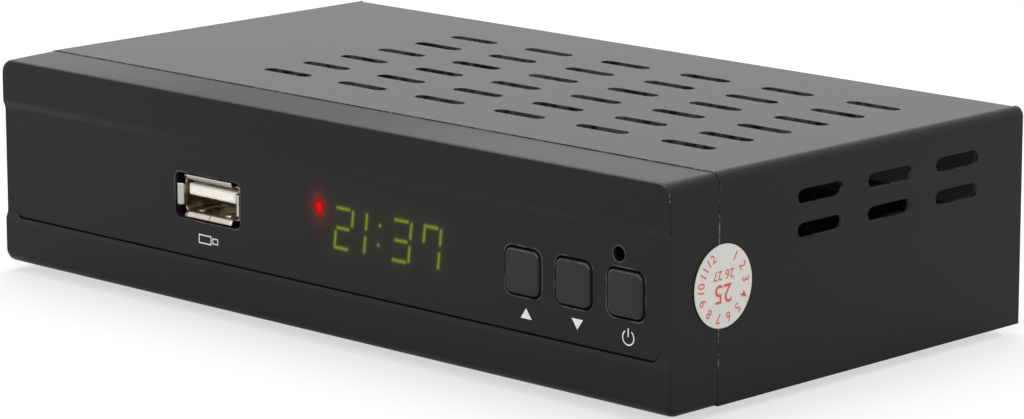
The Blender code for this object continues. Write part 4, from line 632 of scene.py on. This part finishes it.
def gridFaces(rows, columns, closed=False, start=0):
    # quads of a grid of points, numbered row by row
    i = np.arange(rows - 1)[:, None]
    j = np.arange(columns if closed else columns - 1)[None, :]
    k = (j + 1) % columns
    quads = np.stack([i * columns + j, i * columns + k, (i + 1) * columns + k, (i + 1) * columns + j], -1)
    return (quads.reshape(-1, 4) + start).tolist()


def roundSquare(half, corner):
    # points round a square with round corners: each corner is a quarter circle about its own centre
    turn = np.radians(np.linspace(0, 90, 9))
    quarters = []
    for quarter, (sideX, sideZ) in enumerate(((1, 1), (-1, 1), (-1, -1), (1, -1))):
        angle = turn + quarter * math.pi / 2
        quarters.append(np.column_stack([
            sideX * (half - corner) + corner * np.cos(angle),
            sideZ * (half - corner) + corner * np.sin(angle),
        ]))
    return np.vstack(quarters)


fine = {
    "bend": 35,  # degrees: folds sharper than this are edges
    "segments": 2,
    "coverFront": 0.2,  # leaves a seam 0.1 mm wide
    "coverFrontTo": 10.8,
    "filmEnds": 0.14,  # leaves 0.01 mm to the walls of the film's pocket
    "filmEndsFrom": 70.5,
    "filmTop": 0.06,
    "filmTopFrom": 24.7,
}


def drawCover(form):
    # the cover's front edge drawn forward
    for vertex in form.verts:
        if vertex.co.y / mm - caseOffset[1] < fine["coverFrontTo"]:
            vertex.co.y -= fine["coverFront"] * mm


def spreadFilm(form):
    # the film's ends and top drawn out
    for vertex in form.verts:
        x, z = vertex.co.x / mm, vertex.co.z / mm - caseOffset[2]
        if abs(x) > fine["filmEndsFrom"]:
            vertex.co.x += math.copysign(fine["filmEnds"], x) * mm
        if z > fine["filmTopFrom"]:
            vertex.co.z += fine["filmTop"] * mm


def finePiece(name, edge):
    # a CAD node's own shape with its doubles merged, its bends smooth and its edges broken by edge mm
    form = bmesh.new()
    form.from_mesh(nodes[name].data)
    if name == "front_overlay":
        spreadFilm(form)
    elif name == "top_cover":
        drawCover(form)
    bmesh.ops.remove_doubles(form, verts=form.verts, dist=1e-6)
    bmesh.ops.dissolve_limit(form, angle_limit=math.radians(0.3), verts=form.verts, edges=form.edges)
    bmesh.ops.recalc_face_normals(form, faces=form.faces)
    mesh = bpy.data.meshes.new("fine_" + name)
    form.to_mesh(mesh)
    form.free()
    if "custom_normal" in mesh.attributes:
        mesh.attributes.remove(mesh.attributes["custom_normal"])
    mesh.materials.clear()
    mesh.materials.append(finishes[slotOf[name]])
    mesh.polygons.foreach_set("use_smooth", [True] * len(mesh.polygons))
    bend = math.radians(fine["bend"])
    mesh.set_sharp_from_angle(angle=bend)
    piece = placeMesh("fine_" + name, mesh, nodes[name]["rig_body"], [name])
    if edge:
        bevel = piece.modifiers.new("brokenEdges", "BEVEL")
        bevel.width = edge * mm
        bevel.segments = fine["segments"]
        bevel.limit_method = "ANGLE"
        bevel.angle_limit = bend
    weighted = piece.modifiers.new("flatFaces", "WEIGHTED_NORMAL")
    weighted.keep_sharp = True


# the pieces whose CAD shape is right, with the break of their edges in mm
fineNodes = {
    "front_panel": 0.03,
    "front_overlay": 0.0,
    "top_cover": 0.07,
    "base_pan": 0.07,
    "foot_front_left": 0.25,
    "foot_front_right": 0.25,
    "foot_rear_left": 0.25,
    "foot_rear_right": 0.25,
    "cover_screw_left": 0.06,
    "cover_screw_right": 0.06,
    "aerial_in_sleeve": 0.08,
    "aerial_out_sleeve": 0.08,
    "aerial_in_contact": 0.05,
    "aerial_out_pin": 0.05,
    "picture_socket_shell": 0.05,
    "picture_socket_tongue": 0.06,
    "wide_socket": 0.12,
    "sound_socket_body": 0.12,
    "sound_socket_barrel": 0.08,
    "sound_socket_core": 0.06,
    "power_jack_body": 0.12,
    "power_jack_pin": 0.05,
    "tuner_can": 0.15,
    "heatsink": 0.1,
    "capacitor_1": 0.15,
    "capacitor_2": 0.15,
    "capacitor_3": 0.15,
    "crystal_can": 0.1,
    "power_coil": 0.1,
    "stick_socket_tongue": 0.08,
    "display_module": 0.1,
    "flat_lead": 0.0,
}

for name, edge in fineNodes.items():
    finePiece(name, edge)
print("fine pieces:", len(fineNodes))

# what shines through the film: four digits with a colon, and the standby lamp

lit = {
    "text": "21:37",
    "reachX": (-5.0, 31.0),
    "reachZ": (10.4, 24.4),
    "step": 0.1,
    "face": 0.645,
    "middle": (16.4, 17.72),
    "digitTall": 6.34,
    "digitWide": 3.5,
    "starts": (5.03, 8.11, 14.58, 17.82, 24.2),
    "lean": 0.125,
    "stroke": 0.21,
    "strokeEdge": 0.085,
    "haze": 0.075,
    "hazeReach": 0.9,
    "colon": (1.75, 4.87),
    "green": (0.17, 0.225, 0.002),
    "lamp": (1.27, 20.34),
    "lampRadius": 0.9,
    "lampEdge": 0.18,
    "lampNarrow": 1.2,
    "halo": 0.25,
    "haloReach": 2.05,
    "red": 0.65,
}


def litBars():
    # the bars of each seven bar digit, as (x0, z0, x1, z1) above the digits' foot, upright;
    # a level bar is (start, row, end from the right), an upright bar is (x, low, high)
    wide, half = lit["digitWide"], lit["digitTall"] / 2
    level = {"a": (0.02, 2, -0.9), "g": (0.34, 1, -0.8), "d": (0.14, 0, -0.72)}
    upright = {"b": (wide, half + 0.74, 2 * half - 0.26), "c": (wide, 0.26, half - 0.74)}
    upright["f"] = (0.0, *upright["b"][1:])
    upright["e"] = (0.0, *upright["c"][1:])
    shown = {"2": "abged", "1": "bc", "3": "abgcd", "7": "abcf"}
    bars = []
    for sign, start in zip(lit["text"], lit["starts"]):
        if sign == ":":
            bars += [(start, z, start, z) for z in lit["colon"]]
            continue
        for bar in shown[sign]:
            if bar in level:
                left, row, right = level[bar]
                bars.append((start + left, row * half, start + wide + right, row * half))
            else:
                x, low, high = upright[bar]
                bars.append((start + x, low, start + x, high))
    return bars


def buildLitWindow():
    # a grid on the film. At each point, green falls off with the distance from the nearest bar:
    # 1 / (1 + e^((distance - stroke) / edge)) + haze * e^(-distance / reach). Red falls off likewise with
    # the distance from the lamp's middle, its halo a bell curve: halo * e^(-(distance / reach)^2)
    step = lit["step"]
    xs = np.arange(lit["reachX"][0], lit["reachX"][1] + step / 2, step)
    zs = np.arange(lit["reachZ"][0], lit["reachZ"][1] + step / 2, step)
    gridX, gridZ = np.meshgrid(xs, zs)
    upright = gridX - (gridZ - lit["middle"][1]) * lit["lean"]
    level = gridZ - lit["middle"][1] + lit["digitTall"] / 2
    nearest = np.full(gridX.shape, 9.0)
    for x0, z0, x1, z1 in litBars():
        alongX, alongZ = x1 - x0, z1 - z0
        length = max(alongX * alongX + alongZ * alongZ, 1e-9)
        share = np.clip(((upright - x0) * alongX + (level - z0) * alongZ) / length, 0, 1)
        nearest = np.minimum(nearest, np.hypot(upright - x0 - share * alongX, level - z0 - share * alongZ))
    green = 1 / (1 + np.exp((nearest - lit["stroke"]) / lit["strokeEdge"]))
    green += lit["haze"] * np.exp(-nearest / lit["hazeReach"])
    away = np.hypot((gridX - lit["lamp"][0]) * lit["lampNarrow"], gridZ - lit["lamp"][1])
    red = 1 / (1 + np.exp((away - lit["lampRadius"]) / lit["lampEdge"]))
    red += lit["halo"] * np.exp(-(away / lit["haloReach"]) ** 2)
    f = Finish("litFilm")
    shine = f.node("ShaderNodeAttribute", {"attribute_name": "green"}, output=2)
    lamp = f.node("ShaderNodeAttribute", {"attribute_name": "red"}, output=2)
    grain = f.noise(film["grain"], 2.0)
    core = lamp.fade(0.1, 0.5)
    digits = shine.blend((0.0, 0.0, 0.0), lit["green"])
    finish = f.surface(
        Base_Color=core.blend(shine.blend(filmBase(f), (0.004, 0.004, 0.0)), (0.006, 0.0, 0.0)),
        Metallic=core,
        Roughness=grain * 0.06 + film["roughness"],
        Specular_IOR_Level=film["specular"],
        Emission_Color=(lamp * lit["red"]).blend(digits, (1.0, 0.0, 0.0)),
        Emission_Strength=1.0,
        Normal=f.bump(grain, 0.006, 0.4),
    )
    points = np.stack([gridX, np.full(gridX.shape, lit["face"]), gridZ], -1)
    piece = addPiece("litWindow", points, gridFaces(*gridX.shape), finish)
    for name, values in (("green", green), ("red", red)):
        attribute = piece.data.attributes.new(name, "FLOAT", "POINT")
        attribute.data.foreach_set("value", values.ravel().astype(np.float32))


buildLitWindow()

# white signs on the film

signs = {
    "face": 0.63,
    "up": (45.85, 10.8),
    "down": (56.25, 10.9),
    "power": (66.4, 10.6),
    "stick": (-24.6, 11.1),
    "wide": 2.3,
    "tall": 1.6,
    "ring": 1.1,
    "line": 0.2,
    "ringOpening": 34,  # degrees on each side of the top
    "ringSteps": 65,
    "bar": (0.1, 1.4),
    "stickBody": (-2.3, -0.75, 0.7, 0.75, 0.19),  # left, foot, right, top, line
    "stickPlug": (0.95, -0.5, 2.3, 0.5, 0.17),
}


def flat(outline, face):
    # an outline in x and z laid on the plane y = face
    outline = np.asarray(outline, float)
    return np.column_stack([outline[:, 0], np.full(len(outline), face), outline[:, 1]])


def frameStrip(x, z, left, foot, right, top, line):
    # a rectangle about a place, drawn with a line of that width: outer and inner corners
    x0, z0, x1, z1 = x + left, z + foot, x + right, z + top
    outer = [(x0, z0), (x1, z0), (x1, z1), (x0, z1)]
    inner = [(x0 + line, z0 + line), (x1 - line, z0 + line), (x1 - line, z1 - line), (x0 + line, z1 - line)]
    return outer + inner


def buildSigns():
    s = signs
    f = Finish("whitePrint")
    ink = f.noise(0.25, 2.0).blend((0.70, 0.70, 0.69), (0.84, 0.84, 0.83))
    finish = f.surface(Base_Color=ink, Roughness=0.5, Specular_IOR_Level=0.3)
    wide, tall = s["wide"] / 2, s["tall"] / 2
    x, z = s["up"]
    points = flat([(x - wide, z - tall), (x + wide, z - tall), (x, z + tall)], s["face"])
    addPiece("signUp", points, [(0, 1, 2)], finish)
    x, z = s["down"]
    points = flat([(x - wide, z + tall), (x, z - tall), (x + wide, z + tall)], s["face"])
    addPiece("signDown", points, [(0, 1, 2)], finish)
    # the power sign: a ring open at its top, and a bar through the opening
    x, z = s["power"]
    turn = np.radians(np.linspace(90 + s["ringOpening"], 450 - s["ringOpening"], s["ringSteps"]))
    rims = [s["ring"] + s["line"] / 2, s["ring"] - s["line"] / 2]
    ring = [np.column_stack([x + r * np.cos(turn), z + r * np.sin(turn)]) for r in rims]
    half, (low, high) = s["line"] / 2 + 0.01, s["bar"]
    bar = [(x - half, z + low), (x + half, z + low), (x + half, z + high), (x - half, z + high)]
    last = 2 * s["ringSteps"]
    faces = [tuple(reversed(face)) for face in gridFaces(2, s["ringSteps"])]
    faces.append((last, last + 1, last + 2, last + 3))
    addPiece("signPower", flat(np.vstack([ring[0], ring[1], bar]), s["face"]), faces, finish)
    # a plain memory stick under its socket: a body and the plug at its end
    x, z = s["stick"]
    body = frameStrip(x, z, *s["stickBody"])
    plug = frameStrip(x, z, *s["stickPlug"])
    ringFaces = [(i, (i + 1) % 4, 4 + (i + 1) % 4, 4 + i) for i in range(4)]
    faces = ringFaces + [tuple(8 + i for i in face) for face in ringFaces]
    addPiece("signStick", flat(body + plug, s["face"]), faces, finish)


buildSigns()
print("lit window and signs")

# keys

keyCap = {
    "face": 0.15,
    "crown": 0.07,
    "edge": 0.42,
    "flange": (2.95, 3.75, 4.58),
    "stem": 1.6,
    "end": 5.5,
}


def buildKey(body, middle):
    # round squares stacked along y: a low crown whose depth grows with the square of the share, an edge
    # that rolls over a quarter circle, the skirt, the flange and the stem
    k = keyCap
    half, wide = drawing["keyHalf"], drawing["keyCorner"]
    inside = half - k["edge"]
    sections = []  # half side, corner, depth
    for share in (0.25, 0.5, 0.75, 0.92, 1.0):
        corner = min((wide - k["edge"] * 0.6) * share, inside * share * 0.99)
        sections.append((inside * share, corner, k["face"] + k["crown"] * share * share))
    for turn in np.radians([15, 30, 45, 60, 75, 90]):
        corner = wide - k["edge"] * 0.6 * (1 - math.sin(turn))
        depth = k["face"] + k["crown"] + k["edge"] * (1 - math.cos(turn))
        sections.append((inside + k["edge"] * math.sin(turn), corner, depth))
    front, back, rim = k["flange"]
    sections += [(half, wide, front), (rim, wide, front), (rim, wide, back)]
    sections += [(k["stem"], k["stem"] * 0.99, y) for y in (back, k["end"])]
    rows = [flat(roundSquare(side, corner) + middle, y) for side, corner, y in sections]
    count = len(rows[0])
    tips = flat([middle, middle], 0.0)
    tips[:, 1] = k["face"], k["end"]
    points = np.vstack([*rows, tips])
    last = len(rows) * count
    faces = [tuple(reversed(face)) for face in gridFaces(len(rows), count, True)]
    faces += [(i, (i + 1) % count, last) for i in range(count)]
    faces += [(last - count + (i + 1) % count, last - count + i, last + 1) for i in range(count)]
    finish = finishes["key_plastic"]
    piece = addPiece(body + "_crownedCap", points, faces, finish, body, [body + "_cap"])
    piece.data.set_sharp_from_angle(angle=math.radians(50))


for body, middle in drawing["keys"].items():
    buildKey(body, middle)
print("keys")

# socket for the memory stick

stick = {
    "half": (6.39, 2.715),
    "corner": 0.55,
    "wall": 0.3,
    "mouth": 0.97,
    "neck": 1.5,
    "back": 10.6,
    "flare": (1.08, 0.85),
    "lip": (5.5, 1.75),
    "slit": 0.45,
    "springs": ((-3.2, -1), (3.2, -1), (-3.2, 1), (3.2, 1)),  # x from the middle, side
    "springFrom": 2.2,
    "springLong": 5.0,
    "springHalf": 0.6,
    "springRise": 0.42,
    "springWall": 0.15,
    "contacts": (-3.5, -1.0, 1.0, 3.5),
    "contactFrom": 2.5,
    "contactLong": 5.5,
    "contactHalf": 0.45,
    "contactLevel": 17.51,
    "contactWall": 0.08,
}


def stickShift():
    return np.array([drawing["stick"][0], 0, drawing["stick"][1]])


def thicken(piece, wall):
    # half the wall on each side of the surface
    solid = piece.modifiers.new("wall", "SOLIDIFY")
    solid.thickness = wall * mm
    solid.offset = 0.0


def buildStickShell():
    # outline point plus flare times (1 - cos turn), drawn forward by (sin turn): four lips that roll
    # outwards. Between the lips the front edge steps back to the foot of a slit at each corner
    s = stick
    halfX, halfZ = s["half"]
    lipX, lipZ = s["lip"]
    cornerTurn = np.radians(np.linspace(6, 84, 6))
    outline, flareX, flareZ, lipped = [], [], [], []
    for side in range(4):
        across = side % 2 == 0  # lips on top and below run along x, the others along z
        reach = lipX if across else lipZ
        along = np.concatenate([[-reach - 0.02], np.linspace(-reach, reach, 15), [reach + 0.02]])
        sign = 1 if side < 2 else -1
        for value in along:
            inside = abs(value) <= reach
            place = (-sign * value, sign * halfZ) if across else (-sign * halfX, -sign * value)
            outline.append(place)
            flareX.append(0.0 if across else -sign * s["flare"][0])
            flareZ.append(sign * s["flare"][1] if across else 0.0)
            lipped.append(inside)
        cornerX = -sign * (halfX - s["corner"])
        cornerZ = sign * (halfZ - s["corner"]) if across else -sign * (halfZ - s["corner"])
        start = {0: math.pi / 2, 1: math.pi, 2: 3 * math.pi / 2, 3: 0.0}[side]
        for angle in start + cornerTurn:
            outline.append((cornerX + s["corner"] * math.cos(angle), cornerZ + s["corner"] * math.sin(angle)))
            flareX.append(0.0)
            flareZ.append(0.0)
            lipped.append(False)
    outline = np.array(outline)
    flareX, flareZ, lipped = np.array(flareX), np.array(flareZ), np.array(lipped)
    rows = []
    for turn in np.radians([84, 72, 60, 48, 36, 24, 12, 0]):
        depth = np.where(lipped, s["neck"] - (s["neck"] - s["mouth"]) * math.sin(turn), s["neck"] + s["slit"])
        grow = (1 - math.cos(turn)) * lipped
        rows.append(np.column_stack([outline[:, 0] + flareX * grow, depth, outline[:, 1] + flareZ * grow]))
    for depth in (s["neck"] + s["slit"] + 0.05, s["back"]):
        rows.append(np.column_stack([outline[:, 0], np.full(len(outline), depth), outline[:, 1]]))
    count = len(outline)
    points = np.vstack(rows) + stickShift()
    faces = gridFaces(len(rows), count, True)
    slitRows = 7 * count  # the flattened quads between the lips are left out
    faces = [f for f in faces if f[0] >= slitRows or (lipped[f[0] % count] and lipped[f[1] % count])]
    finish = finishes["plated_shell"]
    piece = addPiece("stickShell", points, faces, finish, replaced=["stick_socket_shell"])
    form = bmesh.new()
    form.from_mesh(piece.data)
    bmesh.ops.remove_doubles(form, verts=form.verts, dist=1e-6)
    loose = [v for v in form.verts if not v.link_faces]
    bmesh.ops.delete(form, geom=loose, context="VERTS")
    bmesh.ops.recalc_face_normals(form, faces=form.faces)
    form.to_mesh(piece.data)
    form.free()
    thicken(piece, s["wall"])
    soft = piece.modifiers.new("flatFaces", "WEIGHTED_NORMAL")
    soft.keep_sharp = True


def buildStickSprings():
    # two curved springs below and two above the plug's room: z follows a half sine along the first four
    # fifths of y
    s = stick
    strips, faces = [], []
    long, wide = 13, 4  # points along and across a spring
    along, across = np.linspace(0, 1, long), np.linspace(-s["springHalf"], s["springHalf"], wide)
    t, w = np.meshgrid(along, across, indexing="ij")
    wall = s["half"][1] - 0.22
    rise = wall - s["springRise"] * np.sin(np.pi * np.clip(t * 1.25, 0, 1)) * (1 - 0.15 * t)
    for number, (x, side) in enumerate(s["springs"]):
        depth = s["springFrom"] + s["springLong"] * t
        grid = np.stack([x + w * (1 - 0.25 * t), depth, side * rise], -1).reshape(-1, 3)
        strips.append(grid + stickShift())
        faces += gridFaces(long, wide, start=number * long * wide)
    piece = addPiece("stickSprings", np.vstack(strips), faces, finishes["plated_shell"])
    thicken(piece, s["springWall"])


def buildStickContacts():
    # four gilt contacts under the tongue. Near its front end each dips by
    # 0.16 * e^(-((t - 0.12) / 0.1)^2), t the share of its length
    s = stick
    gilt = plated("giltContact", (0.78, 0.55, 0.2), (0.9, 0.68, 0.3), 0.2)
    long, wide = 9, 3
    along, across = np.linspace(0, 1, long), np.linspace(-s["contactHalf"], s["contactHalf"], wide)
    t, w = np.meshgrid(along, across, indexing="ij")
    level = s["contactLevel"] - 0.16 * np.exp(-((t - 0.12) / 0.1) ** 2)
    strips, faces = [], []
    for number, x in enumerate(s["contacts"]):
        depth = s["contactFrom"] + s["contactLong"] * t
        strips.append(np.stack([drawing["stick"][0] + x + w, depth, level], -1).reshape(-1, 3))
        faces += gridFaces(long, wide, start=number * long * wide)
    piece = addPiece("stickContacts", np.vstack(strips), faces, gilt)
    thicken(piece, s["contactWall"])


buildStickShell()
buildStickSprings()
buildStickContacts()
print("socket for the memory stick")

# the seal on the side: an open ring of month numbers and a few years, upside down as it was stuck on

seal = {
    "middle": (11.35, 17.9),
    "face": 75.235,
    "months": 12,
    "monthPlace": 4.85,
    "monthSize": 2.05,
    "monthSpread": 296,
    "inside": (("25", 1.15, 4.0), ("26 27", -1.65, 2.0)),
}


def textShape(text, size):
    # a word's filled outline, its middle at 0, 0
    curve = bpy.data.curves.new("figures", "FONT")
    curve.body = text
    curve.size = size
    curve.align_x = "CENTER"
    curve.align_y = "CENTER"
    curve.resolution_u = 3
    curve.offset = 0.008 * size
    holder = bpy.data.objects.new("figures", curve)
    bpy.context.scene.collection.objects.link(holder)
    mesh = bpy.data.meshes.new_from_object(holder)
    places = np.zeros(len(mesh.vertices) * 3)
    mesh.vertices.foreach_get("co", places)
    faces = [tuple(face.vertices) for face in mesh.polygons]
    bpy.data.objects.remove(holder)
    bpy.data.curves.remove(curve)
    bpy.data.meshes.remove(mesh)
    places = places.reshape(-1, 3)[:, :2]
    if places[:, 0].size:
        places = places - (places.min(0) + places.max(0)) / 2
    return places, faces


def buildSealPrint():
    s = seal
    shapes = []
    for month in range(1, s["months"] + 1):
        places, faces = textShape(str(month), s["monthSize"])
        angle = math.radians(90 + s["monthSpread"] * (0.5 - (month - 1) / (s["months"] - 1)))
        tilt = angle - math.pi / 2
        turn = np.array([[math.cos(tilt), math.sin(tilt)], [-math.sin(tilt), math.cos(tilt)]])
        place = s["monthPlace"] * np.array([math.cos(angle), math.sin(angle)])
        shapes.append((places @ turn + place, faces))
    for text, rise, size in s["inside"]:
        places, faces = textShape(text, size)
        shapes.append((places + np.array([0, rise]), faces))
    points, faces = [], []
    for places, own in shapes:
        start = sum(len(p) for p in points)
        points.append(places)
        faces += [tuple(start + i for i in face) for face in own]
    points = -np.vstack(points)  # half a turn
    points = points + np.array(s["middle"])
    points = np.column_stack([np.full(len(points), s["face"]), points])
    f = Finish("redPrint")
    ink = f.noise(0.3, 3.0, 0.7).blend((0.6, 0.07, 0.06), (0.7, 0.14, 0.12))
    finish = f.surface(Base_Color=ink, Roughness=0.55, Specular_IOR_Level=0.3)
    addPiece("sealPrint", points, faces, finish)


buildSealPrint()
print("seal")
